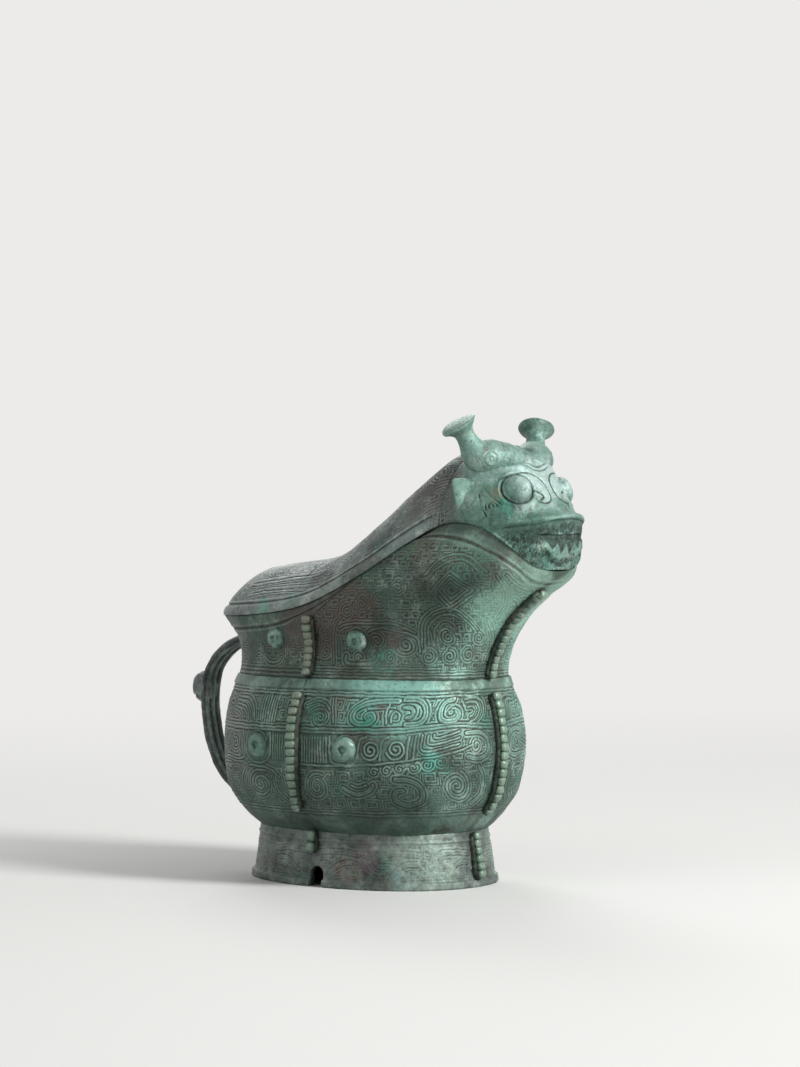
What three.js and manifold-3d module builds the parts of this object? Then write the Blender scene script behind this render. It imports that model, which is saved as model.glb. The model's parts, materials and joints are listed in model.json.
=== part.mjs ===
// A bronze guang: a covered wine-pouring vessel whose lid ends in a horned dragon's head.
// Millimetres, +Z up, +X towards the spout. The origin is on the ground under the middle of the foot.
import * as THREE from "three";
import { mergeVertices } from "three/addons/utils/BufferGeometryUtils.js";
import Module from "manifold-3d";

const wasm = await Module();
wasm.setup();

// Driving dimensions
const SEAT_GAP = 0.3; // between a piece and the surface that it sits on
const WALL = 3.2; // casting thickness of belly, neck and lid
const REACH = 120; // from the axis to the snout, and to the handle's muzzle

const FOOT_HEIGHT = 27;
const FOOT_LIP_HEIGHT = 3.5;
const FOOT_LIP_OUT = 1.4;
const FOOT_WALL = 3.4;
const FOOT_TOP = { long: 60.5, half: 45.5 };
const FOOT_BASE = { long: 64.5, half: 48.5 };
const FOOT_POWER = 2.2;
const NOTCH_WIDTH = 8;
const NOTCH_X = 2.5;
const NOTCH_HEIGHT = 10;

const BELLY_FLOOR = 20.5; // underside of the belly, inside the foot
const BELLY = { z: 66, long: 77, half: 61.5 };
const WAIST = { z: 103, long: 71.5, half: 50.5 };
const REAR_RIM = { z: 130, long: 84, half: 50 };
const SPOUT_TIP = { x: REACH * 0.9333, z: 151 };
const SPOUT_CREST = { x: 75, z: 176.5, half: 32 };
const BAND_Z = 98; // plain band on the shoulder
const BAND_HEIGHT = 6;
const BAND_OUT = 0.9;
const PLAN_POWER = 2.4;

const LID_POWER = 2.2; // squareness of the lid's arched section
const LID_FULLNESS = 0.72;
const ARCH_STEPS = 14;
const LID_OVERHANG = 1.2;
const LID_NECK_X = 66; // where the lid meets the dragon's head
const LID_TALL = 38; // of the lid's ridge above the rim, at its highest
const TONGUE_DEPTH = 5; // of the lip that locates the lid inside the mouth
const TONGUE_WALL = 2;
const TONGUE_CLEARANCE = 1;

const FLANGE_THICK = 4;
const FLANGE_TALL = 4.6;
const FLANGE_PITCH = 4;
const FLANGE_SCORE = 0.9; // depth of the scored notches
const FRONT_FLANGE = { belly: 36, neck: 146 }; // lowest and highest ends of the front flanges
const SIDE_FLANGE = { belly: 38, neck: 132 };
const FOOT_FLANGE_STUB = 17; // lowest end of the one that stops above the notch

const EYE_RADIUS = 7;
const EYE_OUT = 3.4;
const EYE_ASIDE = 18.6; // from the middle plane to the eye
const HEAD_LONG = REACH - LID_NECK_X;
const HEAD_TALL = 36.5; // of the crown above the rim's crest
const HORN_SPREAD = 32; // from the middle plane to the cap's middle
const HORN_CAP = 8.9;
const EAR_OUT = 34.8;
const BELLY_EYE = { front: 29, rear: 24, z: 68.5, radius: 6, tall: 3.2 };
const NECK_EYE = { front: 26.5, rear: 24, z: 120, radius: 5.2, tall: 3 };

const MOUTH = { z: 169, tall: 5, deep: 8, half: 15 };
const HEAD_WALL = 5; // of the hollow head
const HEAD_FRONT = 24; // solid depth of the snout

const HANDLE_WIDTH = 13;
const HANDLE_THICK = 4.2;
const HANDLE_TOP = 117.5; // height of its middle line where it leaves the neck
const HANDLE_LOW = 35; // and where it meets the belly
const HANDLE_OUT = REACH * 0.9125;
const MUZZLE = { z: 91, deep: 9, wide: 7.5, tall: 8.5 };

const AROUND = 44; // points round a section of the vessel
const STEP_Z = 5.5; // height between sections

// Colours of the patina
const GREEN = { color: 0x4c7a66, roughness: 0.62, metalness: 0.35 };
const GREY = { color: 0x6c7670, roughness: 0.66, metalness: 0.4 };
const PALE = { color: 0x7fb09b, roughness: 0.58, metalness: 0.35 };
const EARTHY = { color: 0x6a6a58, roughness: 0.7, metalness: 0.35 };

// A smooth curve through [place, value] pairs, flat beyond its ends.
function curveThrough(pairs) {
  const slope = pairs.map((p, i) => {
    const before = pairs[Math.max(i - 1, 0)];
    const after = pairs[Math.min(i + 1, pairs.length - 1)];
    return (after[1] - before[1]) / (after[0] - before[0]);
  });
  return (place) => {
    const last = pairs.length - 1;
    if (place <= pairs[0][0]) return pairs[0][1];
    if (place >= pairs[last][0]) return pairs[last][1];
    let i = 0;
    while (pairs[i + 1][0] < place) i += 1;
    const span = pairs[i + 1][0] - pairs[i][0];
    const t = (place - pairs[i][0]) / span;
    const a = (1 + 2 * t) * (1 - t) ** 2 * pairs[i][1] + t * (1 - t) ** 2 * span * slope[i];
    return a + t * t * (3 - 2 * t) * pairs[i + 1][1] + t * t * (t - 1) * span * slope[i + 1];
  };
}

const between = THREE.MathUtils.lerp;

// Heights as shares of the way from one named height to the next.
const lowerBelly = (share) => between(FOOT_HEIGHT, BELLY.z, share);
const upperBelly = (share) => between(BELLY.z, WAIST.z, share);
const rearNeck = (share) => between(WAIST.z, REAR_RIM.z, share);
const frontNeck = (share) => between(WAIST.z, SPOUT_TIP.z, share);
const mouthRise = (share) => between(REAR_RIM.z, SPOUT_CREST.z, share);
const spoutFall = (share) => between(SPOUT_CREST.z, SPOUT_TIP.z, share);
const spoutRun = (share) => between(SPOUT_CREST.x, SPOUT_TIP.x, share);

// Height of the rim over a place along the vessel: level at the rear, up the neck, and down to the spout's tip.
const rimHeight = curveThrough([
  [-REAR_RIM.long * 1.119, REAR_RIM.z],
  [-REAR_RIM.long * 0.6, mouthRise(0.0108)],
  [SPOUT_CREST.x * -0.08, mouthRise(0.129)],
  [SPOUT_CREST.x * 0.4, mouthRise(0.4624)],
  [SPOUT_CREST.x * 0.6533, mouthRise(0.7419)],
  [SPOUT_CREST.x * 0.84, mouthRise(0.9398)],
  [SPOUT_CREST.x, SPOUT_CREST.z],
  [spoutRun(0.3784), spoutFall(0.0863)],
  [spoutRun(0.6757), spoutFall(0.3333)],
  [spoutRun(0.8649), spoutFall(0.6078)],
  [SPOUT_TIP.x, spoutFall(0.8824)],
  [spoutRun(1.27), spoutFall(1.2353)],
]);

// The vessel's outside at each height: how far it reaches forward, back and to the side, and its middle.
const throat = (share) => between(WAIST.long, SPOUT_TIP.x * 0.9911, share);
const front = curveThrough([
  [BELLY_FLOOR, FOOT_TOP.long * 0.8264],
  [FOOT_HEIGHT, FOOT_TOP.long * 0.9917],
  [lowerBelly(0.2051), between(FOOT_TOP.long, BELLY.long, 0.3636)],
  [lowerBelly(0.4872), BELLY.long * 0.9545],
  [BELLY.z, BELLY.long],
  [upperBelly(0.4865), BELLY.long * 0.974],
  [upperBelly(0.8378), WAIST.long * 0.993],
  [WAIST.z, WAIST.long * 0.9832],
  [frontNeck(0.1458), throat(0.0127)],
  [frontNeck(0.3542), throat(0.1266)],
  [frontNeck(0.6042), throat(0.3544)],
  [frontNeck(0.8125), throat(0.6582)],
  [SPOUT_TIP.z, throat(1)],
  [spoutFall(0.5294), SPOUT_TIP.x * 1.0179],
  [mouthRise(1.2581), SPOUT_TIP.x * 1.0223],
]);
const tail = (share) => between(WAIST.long, REAR_RIM.long, share);
const rear = curveThrough([
  [BELLY_FLOOR, FOOT_TOP.long * 0.8264],
  [FOOT_HEIGHT, FOOT_TOP.long * 0.9917],
  [lowerBelly(0.2051), between(FOOT_TOP.long, BELLY.long, 0.3939)],
  [lowerBelly(0.4872), BELLY.long * 0.961],
  [BELLY.z, BELLY.long],
  [upperBelly(0.4865), BELLY.long * 0.9805],
  [upperBelly(0.8378), WAIST.long * 1.021],
  [WAIST.z, WAIST.long],
  [rearNeck(0.3333), tail(0.04)],
  [rearNeck(0.5926), tail(0.24)],
  [rearNeck(0.8148), tail(0.64)],
  [REAR_RIM.z, REAR_RIM.long],
]);
const side = curveThrough([
  [BELLY_FLOOR, FOOT_TOP.half * 0.7802],
  [FOOT_HEIGHT, FOOT_TOP.half],
  [lowerBelly(0.2051), between(FOOT_TOP.half, BELLY.half, 0.5625)],
  [lowerBelly(0.4872), BELLY.half * 0.9675],
  [BELLY.z, BELLY.half],
  [upperBelly(0.4865), BELLY.half * 0.9756],
  [upperBelly(0.8378), WAIST.half * 1.0693],
  [WAIST.z, WAIST.half],
  [rearNeck(0.3333), WAIST.half * 0.9505],
  [rearNeck(0.6296), WAIST.half * 0.9505],
  [REAR_RIM.z, REAR_RIM.half],
  [mouthRise(0.4624), SPOUT_CREST.half * 1.5],
  [mouthRise(0.7419), SPOUT_CREST.half * 1.28125],
  [SPOUT_CREST.z, SPOUT_CREST.half],
  [mouthRise(1.2581), SPOUT_CREST.half * 0.9375],
]);
const middle = curveThrough([
  [REAR_RIM.z, 0],
  [mouthRise(0.4624), SPOUT_CREST.x * 0.4],
  [mouthRise(0.7419), SPOUT_CREST.x * 0.6667],
  [SPOUT_CREST.z, SPOUT_CREST.x * 0.9333],
]);

// Half the vessel's width at a place along it, at a height, drawn in by an inset.
function halfWidthAt(x, z, inset = 0) {
  const reach = (x > middle(z) ? front(z) - middle(z) : rear(z) + middle(z)) - inset;
  const share = Math.min(Math.abs(x - middle(z)) / reach, 1);
  return (side(z) - inset) * (1 - share ** PLAN_POWER) ** (1 / PLAN_POWER);
}

// The manifold-3d solid of a closed three.js geometry.
function solid(geometry) {
  const bare = new THREE.BufferGeometry();
  const source = geometry.index ? geometry.toNonIndexed() : geometry;
  bare.setAttribute("position", source.getAttribute("position"));
  const merged = mergeVertices(bare, 1e-4);
  const made = new wasm.Manifold(
    new wasm.Mesh({
      numProp: 3,
      vertProperties: new Float32Array(merged.getAttribute("position").array),
      triVerts: new Uint32Array(merged.index.array),
    }),
  );
  return made;
}

// The three.js geometry of a manifold-3d solid.
function geometryOf(made) {
  const mesh = made.getMesh();
  const geometry = new THREE.BufferGeometry();
  geometry.setAttribute("position", new THREE.BufferAttribute(new Float32Array(mesh.vertProperties), 3));
  geometry.setIndex(new THREE.BufferAttribute(new Uint32Array(mesh.triVerts), 1));
  geometry.computeVertexNormals();
  return geometry;
}

// A closed solid through rings of equal length, capped by a fan at each end.
function loft(rings) {
  const count = rings[0].length;
  const points = rings.flat();
  const faces = [];
  for (let r = 0; r + 1 < rings.length; r += 1) {
    for (let i = 0; i < count; i += 1) {
      const a = r * count + i;
      const b = r * count + ((i + 1) % count);
      faces.push(a, b, b + count, a, b + count, a + count);
    }
  }
  for (const [r, flip] of [[0, true], [rings.length - 1, false]]) {
    const centre = new THREE.Vector3();
    rings[r].forEach((p) => centre.addScaledVector(p, 1 / count));
    const tip = points.push(centre) - 1;
    for (let i = 0; i < count; i += 1) {
      const a = r * count + i;
      const b = r * count + ((i + 1) % count);
      faces.push(tip, flip ? b : a, flip ? a : b);
    }
  }
  const geometry = new THREE.BufferGeometry().setFromPoints(points);
  geometry.setIndex(faces);
  const made = solid(geometry);
  if (made.volume() > 0) return made;
  const turned = [];
  for (let i = 0; i < faces.length; i += 3) turned.push(faces[i], faces[i + 2], faces[i + 1]);
  geometry.setIndex(turned);
  return solid(geometry);
}

// A flat outline of [x, z] points, standing along Y from one place to another.
function plate(outline, fromY, toY) {
  const shape = new THREE.Shape(outline.map(([x, z]) => new THREE.Vector2(x, z)));
  const geometry = new THREE.ExtrudeGeometry(shape, { depth: toY - fromY, bevelEnabled: false });
  geometry.rotateX(Math.PI / 2);
  geometry.translate(0, toY, 0);
  return solid(geometry);
}

function ellipsoid(place, radii) {
  const geometry = new THREE.SphereGeometry(1, 20, 12);
  geometry.scale(...radii);
  geometry.translate(...place);
  return solid(geometry);
}

// One level ring of the vessel's outside, drawn in by an inset.
function vesselRing(z, inset) {
  const ring = [];
  for (let i = 0; i < AROUND; i += 1) {
    const turn = (2 * Math.PI * i) / AROUND;
    const c = Math.cos(turn);
    const s = Math.sin(turn);
    const reach = (c > 0 ? front(z) - middle(z) : rear(z) + middle(z)) - inset;
    const along = Math.sign(c) * Math.abs(c) ** (2 / PLAN_POWER) * reach;
    const across = Math.sign(s) * Math.abs(s) ** (2 / PLAN_POWER) * (side(z) - inset);
    ring.push(new THREE.Vector3(middle(z) + along, across, z));
  }
  return ring;
}

function vesselBlock(inset, fromZ) {
  const topZ = mouthRise(1.215);
  const steps = Math.round((topZ - fromZ) / STEP_Z);
  const rings = [];
  for (let i = 0; i <= steps; i += 1) rings.push(vesselRing(fromZ + ((topZ - fromZ) * i) / steps, inset));
  return loft(rings);
}

// Everything above the rim's curve, raised by some height, or everything below it.
function rimCutter(raised, above) {
  const outline = [];
  const far = REACH * 1.25;
  for (let x = -far; x <= far; x += far / 25) outline.push([x, rimHeight(x) + raised]);
  const closingZ = above ? SPOUT_CREST.z * 1.5 : -SPOUT_CREST.z;
  outline.push([far, closingZ], [-far, closingZ]);
  return plate(outline, -REACH, REACH);
}

const vesselOutside = vesselBlock(0, BELLY_FLOOR);
const aboveRim = rimCutter(0, true);

function vesselWall() {
  const inside = vesselBlock(WALL, BELLY_FLOOR + WALL);
  const band = loft(
    [0, 0.15, 0.85, 1].map((share, i) => {
      const z = BAND_Z - BAND_HEIGHT / 2 + BAND_HEIGHT * share;
      return vesselRing(z, i === 0 || i === 3 ? WALL / 2 : -BAND_OUT);
    }),
  );
  return vesselOutside.add(band).subtract(inside).subtract(aboveRim);
}

// One level ring of the foot.
function footRing(z, long, half) {
  const ring = [];
  for (let i = 0; i < AROUND; i += 1) {
    const turn = (2 * Math.PI * i) / AROUND;
    const c = Math.cos(turn);
    const s = Math.sin(turn);
    const x = Math.sign(c) * Math.abs(c) ** (2 / FOOT_POWER) * long;
    const y = Math.sign(s) * Math.abs(s) ** (2 / FOOT_POWER) * half;
    ring.push(new THREE.Vector3(x, y, z));
  }
  return ring;
}

function footBlock(inset, lip) {
  const sizes = (share, out) => [
    between(FOOT_BASE.long, FOOT_TOP.long, share) - inset + out,
    between(FOOT_BASE.half, FOOT_TOP.half, share) - inset + out,
  ];
  const lipShare = FOOT_LIP_HEIGHT / FOOT_HEIGHT;
  return loft([
    footRing(lip ? 0 : -1, ...sizes(0, lip)),
    footRing(FOOT_LIP_HEIGHT * 0.8, ...sizes(lipShare * 0.8, lip)),
    footRing(FOOT_LIP_HEIGHT, ...sizes(lipShare, 0)),
    footRing(FOOT_HEIGHT * 0.6, ...sizes(0.6, -0.8)),
    footRing(FOOT_HEIGHT, ...sizes(1, 0)),
    footRing(lip ? FOOT_HEIGHT + 1 : FOOT_HEIGHT + 2, ...sizes(1, 0)),
  ]);
}

const footOutside = footBlock(0, FOOT_LIP_OUT);

function footRingPiece() {
  const notch = [];
  for (let i = 0; i <= 10; i += 1) {
    const turn = (Math.PI * i) / 10;
    notch.push([
      NOTCH_X + (Math.cos(turn) * NOTCH_WIDTH) / 2,
      NOTCH_HEIGHT + ((Math.sin(turn) - 1) * NOTCH_WIDTH) / 2,
    ]);
  }
  notch.push([NOTCH_X - NOTCH_WIDTH / 2, -1], [NOTCH_X + NOTCH_WIDTH / 2, -1]);
  return footOutside
    .subtract(footBlock(FOOT_WALL, 0))
    .subtract(vesselOutside.translate([0, 0, -SEAT_GAP]))
    .subtract(plate(notch, -FOOT_BASE.half - 10, 0));
}

// A scored flange: a fin that follows a wall's outline, with notches along its crest.
function scoredOutline(wallAt, fromZ, toZ, tall) {
  const count = Math.max(2, Math.round((toZ - fromZ) / FLANGE_PITCH));
  const pitch = (toZ - fromZ) / count;
  const root = [];
  const crest = [];
  for (let i = 0; i <= count; i += 1) {
    const z = fromZ + pitch * i;
    const end = i === 0 || i === count;
    root.push([wallAt(z) + SEAT_GAP, z]);
    crest.push([wallAt(z) + SEAT_GAP + tall - (end ? FLANGE_SCORE : 0), z]);
    if (i < count) {
      for (const share of [0.3, 0.5, 0.7]) {
        const at = z + pitch * share;
        crest.push([wallAt(at) + SEAT_GAP + tall - (share === 0.5 ? FLANGE_SCORE : 0), at]);
      }
    }
  }
  return [...root, ...crest.reverse()];
}

// Wall outlines that the flanges follow, measured out from the axis.
const frontWall = (z) => front(z);
const sideWall = (z) => side(z);
const footFrontWall = (z) => between(FOOT_BASE.long, FOOT_TOP.long, z / FOOT_HEIGHT);
const footSideWall = (z) => between(FOOT_BASE.half, FOOT_TOP.half, z / FOOT_HEIGHT);

function flange(wallAt, fromZ, toZ, turnDegrees, clear) {
  const outline = scoredOutline(wallAt, fromZ, toZ, FLANGE_TALL);
  let fin = plate(outline, -FLANGE_THICK / 2, FLANGE_THICK / 2).rotate([0, 0, turnDegrees]);
  const turn = THREE.MathUtils.degToRad(turnDegrees);
  const out = [Math.cos(turn) * SEAT_GAP, Math.sin(turn) * SEAT_GAP, 0];
  for (const neighbour of clear) fin = fin.subtract(neighbour.translate(out));
  const bodies = fin.decompose().sort((a, b) => b.volume() - a.volume());
  return bodies[0];
}

// A round boss on the vessel's wall, at a place along it, on one side (-1 right, 1 left).
function eyeBoss(x, size, hand) {
  const { z, radius, tall } = size;
  const y = halfWidthAt(x, z);
  const slopeX = (halfWidthAt(x + 1, z) - halfWidthAt(x - 1, z)) / 2;
  const slopeZ = (halfWidthAt(x, z + 1) - halfWidthAt(x, z - 1)) / 2;
  const normal = new THREE.Vector3(-slopeX, hand, -slopeZ).normalize();
  const outline = [[0, -3], [1, -3], [1, 0], [0.96, 0.35], [0.8, 0.72], [0.5, 0.94], [0, 1]];
  const profile = outline.map(([r, h]) => new THREE.Vector2(r * radius, h < 0 ? h : h * tall));
  const geometry = new THREE.LatheGeometry(profile, 16);
  const turn = new THREE.Quaternion().setFromUnitVectors(new THREE.Vector3(0, 1, 0), normal);
  geometry.applyQuaternion(turn);
  geometry.translate(x, y * hand, z);
  const lifted = vesselOutside.translate(normal.clone().multiplyScalar(SEAT_GAP).toArray());
  return solid(geometry).subtract(lifted);
}

// The handle's middle line, from the neck round to the belly: its shares of the way out and of the way up.
const HANDLE_LINE = [
  [-0.0395, 0.9939],
  [0.2763, 1],
  [0.6447, 0.9333],
  [0.9079, 0.8121],
  [1, 0.6424],
  [0.9737, 0.4606],
  [0.8553, 0.2788],
  [0.6447, 0.1333],
  [0.3289, 0.0364],
  [-0.1447, 0],
];

function handleStrap() {
  const line = new THREE.CatmullRomCurve3(
    HANDLE_LINE.map(([out, up]) => {
      return new THREE.Vector3(-between(WAIST.long, HANDLE_OUT, out), 0, between(HANDLE_LOW, HANDLE_TOP, up));
    }),
  );
  const steps = 26;
  const rings = [];
  for (let i = 0; i <= steps; i += 1) {
    const at = line.getPoint(i / steps);
    const way = line.getTangent(i / steps);
    const out = new THREE.Vector3(way.z, 0, -way.x);
    const wide = HANDLE_WIDTH / 2;
    const thick = HANDLE_THICK / 2;
    const section = [[-1, -0.5], [-0.85, -1], [0.85, -1], [1, -0.5], [1, 0.5], [0.6, 1], [0, 1.2], [-0.6, 1], [-1, 0.5]];
    rings.push(
      section.map(([across, lift]) => {
        const p = at.clone().addScaledVector(out, -lift * thick);
        p.y = across * wide;
        return p;
      }),
    );
  }
  return loft(rings).subtract(vesselOutside.translate([-SEAT_GAP, 0, 0]));
}

const strap = handleStrap();

function handleMuzzle() {
  const muzzle = ellipsoid([-REACH + MUZZLE.deep, 0, MUZZLE.z], [MUZZLE.deep, MUZZLE.wide, MUZZLE.tall]);
  const behind = HANDLE_OUT + SEAT_GAP;
  const inner = plate([[-behind, 0], [0, 0], [0, REACH], [-behind, REACH]], -REACH, REACH);
  const bodies = muzzle.subtract(strap.translate([-SEAT_GAP, 0, 0])).subtract(inner).decompose();
  return bodies.sort((a, b) => b.volume() - a.volume())[0];
}

// The lid: its plan follows the vessel's rim, and its top is an arch across the vessel.
const lidHalf = (x) => halfWidthAt(x, rimHeight(x)) + LID_OVERHANG;
const LID_REAR_X = -REAR_RIM.long - LID_OVERHANG;

// The ridge's rise above the rim, from the rear to the head, as shares of the lid's length and of its rise.
const LID_RIDGE = [
  [0, 0.0263],
  [0.0198, 0.1579],
  [0.0529, 0.2895],
  [0.0926, 0.4474],
  [0.1389, 0.5789],
  [0.1997, 0.6632],
  [0.3981, 0.6895],
  [0.504, 0.6921],
  [0.5966, 0.7237],
  [0.6726, 0.8026],
  [0.7619, 0.8947],
  [0.8347, 0.9605],
  [0.914, 1],
  [0.9603, 1],
  [1, 0.9211],
];
const lidRise = curveThrough(
  LID_RIDGE.map(([along, up]) => [between(LID_REAR_X, LID_NECK_X, along), LID_TALL * up]),
);

// One section of the lid or head: an arch from a ridge point down to the rim on each side, and its closing
// edge below. The power sets how square its shoulders are and the fullness how quickly it falls.
function archRing(ridge, footPlace, half, power, fullness, below) {
  const ring = [];
  for (let i = 0; i <= ARCH_STEPS; i += 1) {
    const share = -Math.cos((Math.PI * i) / ARCH_STEPS);
    const rise = Math.max(1 - Math.abs(share) ** power, 0) ** fullness;
    const x = between(footPlace.x, ridge.x, rise);
    const z = between(footPlace.z, ridge.z, rise);
    ring.push(new THREE.Vector3(x, share * half, z));
  }
  ring.push(new THREE.Vector3(footPlace.x, half, footPlace.z - below));
  ring.push(new THREE.Vector3(footPlace.x, -half, footPlace.z - below));
  return ring;
}

function lidRing(x, inset, below) {
  const half = Math.max(lidHalf(Math.max(x, LID_REAR_X + LID_OVERHANG * 1.5)) - inset, TONGUE_WALL);
  const rimZ = rimHeight(x);
  const ridge = { x, z: rimZ + Math.max(lidRise(x) - inset, 1) };
  return archRing(ridge, { x, z: rimZ }, half, LID_POWER, LID_FULLNESS, below);
}

function lidBlock(inset, below, endX) {
  const startX = LID_REAR_X + inset;
  const rings = [];
  const steps = 26;
  for (let i = 0; i <= steps; i += 1) {
    const share = i / steps;
    rings.push(lidRing(startX + (endX - startX) * share ** 1.35, inset, below));
  }
  return loft(rings);
}

const belowLid = rimCutter(SEAT_GAP, false);

// The lip under the lid that drops inside the vessel's mouth, with upright sides.
function tongueBlock(inset) {
  const drawn = WALL + TONGUE_CLEARANCE + inset;
  const fromX = -rear(REAR_RIM.z - TONGUE_DEPTH) + drawn + 0.5;
  const endX = LID_NECK_X - WALL - inset;
  const near = [];
  const steps = 30;
  for (let i = 0; i <= steps; i += 1) {
    const x = fromX + ((endX - fromX) * (1 - Math.cos((Math.PI * i) / steps))) / 2;
    const z = rimHeight(x);
    const half = Math.min(halfWidthAt(x, z, drawn), halfWidthAt(x, z - TONGUE_DEPTH, drawn));
    near.push([x, Math.max(half, 1)]);
  }
  const outline = [...near.map(([x, y]) => [x, -y]), ...near.reverse()];
  const shape = new THREE.Shape(outline.map(([x, y]) => new THREE.Vector2(x, y)));
  const geometry = new THREE.ExtrudeGeometry(shape, { depth: SPOUT_CREST.z, bevelEnabled: false });
  geometry.translate(0, 0, BELLY.z);
  return solid(geometry);
}

function lidShell() {
  const outside = lidBlock(0, 8, LID_NECK_X);
  const shell = outside.subtract(lidBlock(WALL, 20, LID_NECK_X - WALL)).subtract(belowLid);
  const tongue = tongueBlock(0)
    .subtract(tongueBlock(TONGUE_WALL))
    .subtract(rimCutter(-TONGUE_DEPTH, false))
    .intersect(outside.add(outside.translate([0, 0, -TONGUE_DEPTH])));
  return shell.add(tongue);
}

const shell = lidShell();

// The dragon's head, as arches that fan from the nape over the crown and brow to the chin.
const headX = (share) => LID_NECK_X + HEAD_LONG * share;
const headZ = (share) => SPOUT_CREST.z + HEAD_TALL * share;
const headRimX = (share) => between(LID_NECK_X, SPOUT_TIP.x, share);
const HEAD_ARCHES = [
  // [ridge along, ridge up, rim along, power, fullness]
  [0.0056, 0.9068, 0.0065, 2.2, 0.72],
  [0.1111, 0.9671, 0.1087, 2.4, 0.68],
  [0.2407, 1, 0.2174, 2.6, 0.62],
  [0.3704, 0.9836, 0.3261, 2.6, 0.6],
  [0.5, 0.9014, 0.4348, 2.5, 0.6],
  [0.6111, 0.7534, 0.5217, 2.4, 0.62],
  [0.7037, 0.5753, 0.6087, 2.4, 0.62],
  [0.787, 0.3836, 0.6848, 2.4, 0.64],
  [0.8741, 0.2055, 0.75, 2.5, 0.7],
  [0.963, 0.1123, 0.8043, 2.8, 0.78],
  [1, 0.063, 0.837, 2.9, 0.8],
  [0.9778, -0.0822, 0.8761, 2.8, 0.8],
  [0.9556, -0.2192, 0.9087, 2.6, 0.78],
  [0.9296, -0.3836, 0.9413, 2.6, 0.75],
  [0.8704, -0.5205, 0.9696, 2.5, 0.7],
  [0.8481, -0.589, 0.9826, 2.3, 0.6],
];

function headBlock(inset) {
  const rings = HEAD_ARCHES.map(([along, up, rimAlong, power, fullness]) => {
    const rimX = headRimX(rimAlong);
    const rimZ = rimHeight(rimX);
    const away = new THREE.Vector2(headX(along) - rimX, headZ(up) - rimZ);
    away.multiplyScalar(Math.max(away.length() - inset, 1) / away.length());
    const ridge = { x: rimX + away.x, z: rimZ + away.y };
    const half = Math.max(lidHalf(rimX) - inset, 1);
    return archRing(ridge, { x: rimX, z: rimZ }, half, power, fullness, 6);
  });
  return loft(rings);
}

const headSolid = headBlock(0);

function headPiece() {
  const mouth = plate(
    [[REACH - MOUTH.deep, MOUTH.z], [REACH + 2, MOUTH.z + MOUTH.tall / 2], [REACH + 2, MOUTH.z - MOUTH.tall / 2]],
    -MOUTH.half,
    MOUTH.half,
  );
  const back = REACH - HEAD_FRONT;
  const tall = headZ(2);
  const behindSnout = plate([[0, 0], [back, 0], [back, tall], [0, tall]], -REACH, REACH);
  const hollow = headBlock(HEAD_WALL).translate([HEAD_WALL, 0, 0]).intersect(behindSnout);
  return headSolid.subtract(mouth).subtract(hollow).subtract(belowLid);
}

const head = headPiece();

// A bottle-shaped horn: a bulb that lies out from the crown, turns up into a stem and ends in a flared cap.
const HORN_LINE = [
  // [along the head, out, up, radius]
  [0.4259, 0.2812, 0.7945, 0.9551],
  [0.3704, 0.4844, 0.8219, 1.0562],
  [0.3148, 0.6406, 0.8575, 1.0337],
  [0.2741, 0.75, 0.9178, 0.8539],
  [0.2519, 0.825, 1.011, 0.6292],
  [0.2333, 0.8875, 1.1096, 0.5169],
  [0.2185, 0.9375, 1.1863, 0.5843],
  [0.2074, 0.9719, 1.2384, 0.8539],
  [0.2, 0.9938, 1.2685, 1],
  [0.1944, 1.0125, 1.2959, 0.8989],
  [0.1907, 1.0281, 1.3205, 0.4944],
];

// Rings of a round form along a line of [place, radius].
function tubeRings(line, around) {
  return line.map(([at, radius], i) => {
    const before = line[Math.max(i - 1, 0)][0];
    const after = line[Math.min(i + 1, line.length - 1)][0];
    const way = after.clone().sub(before).normalize();
    const turn = new THREE.Quaternion().setFromUnitVectors(new THREE.Vector3(0, 0, 1), way);
    const ring = [];
    for (let k = 0; k < around; k += 1) {
      const angle = (2 * Math.PI * k) / around;
      const point = new THREE.Vector3(Math.cos(angle) * radius, Math.sin(angle) * radius, 0);
      ring.push(point.applyQuaternion(turn).add(at));
    }
    return ring;
  });
}

function horn(hand) {
  const line = HORN_LINE.map(([along, out, up, radius]) => {
    return [new THREE.Vector3(headX(along), HORN_SPREAD * out * hand, headZ(up)), HORN_CAP * radius];
  });
  const made = loft(tubeRings(line, 18));
  const bodies = made.subtract(headSolid.translate([0, 0, SEAT_GAP])).decompose();
  return bodies.sort((a, b) => b.volume() - a.volume())[0];
}

function eye(hand) {
  const facing = new THREE.Vector3(0.42, 0.85 * hand, 0.32).normalize();
  const profile = [[0, -4], [1, -4], [1, 0], [0.92, 0.4], [0.7, 0.75], [0.38, 0.94], [0, 1]].map(
    ([r, h]) => new THREE.Vector2(r * EYE_RADIUS, h < 0 ? h : h * EYE_OUT),
  );
  const geometry = new THREE.LatheGeometry(profile, 20);
  geometry.applyQuaternion(new THREE.Quaternion().setFromUnitVectors(new THREE.Vector3(0, 1, 0), facing));
  geometry.translate(headX(0.6481), EYE_ASIDE * hand, headZ(0.4247));
  const lifted = headSolid.translate(facing.multiplyScalar(SEAT_GAP).toArray());
  const bodies = solid(geometry).subtract(lifted).decompose();
  return bodies.sort((a, b) => b.volume() - a.volume())[0];
}

// A pointed ear that stands out from the back of the cheek, as rings of [along the head, out, up].
const EAR_RINGS = [
  [[0.167, 0.546, 0.616], [0.5, 0.546, 0.562], [0.481, 0.546, 0.151], [0.185, 0.546, 0.055]],
  [[0.067, 0.862, 0.595], [0.333, 0.822, 0.545], [0.352, 0.862, 0.205], [0.093, 0.902, 0.096]],
  [[0.041, 0.96, 0.578], [0.148, 0.937, 0.523], [0.178, 0.971, 0.288], [0.063, 1, 0.184]],
];

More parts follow.
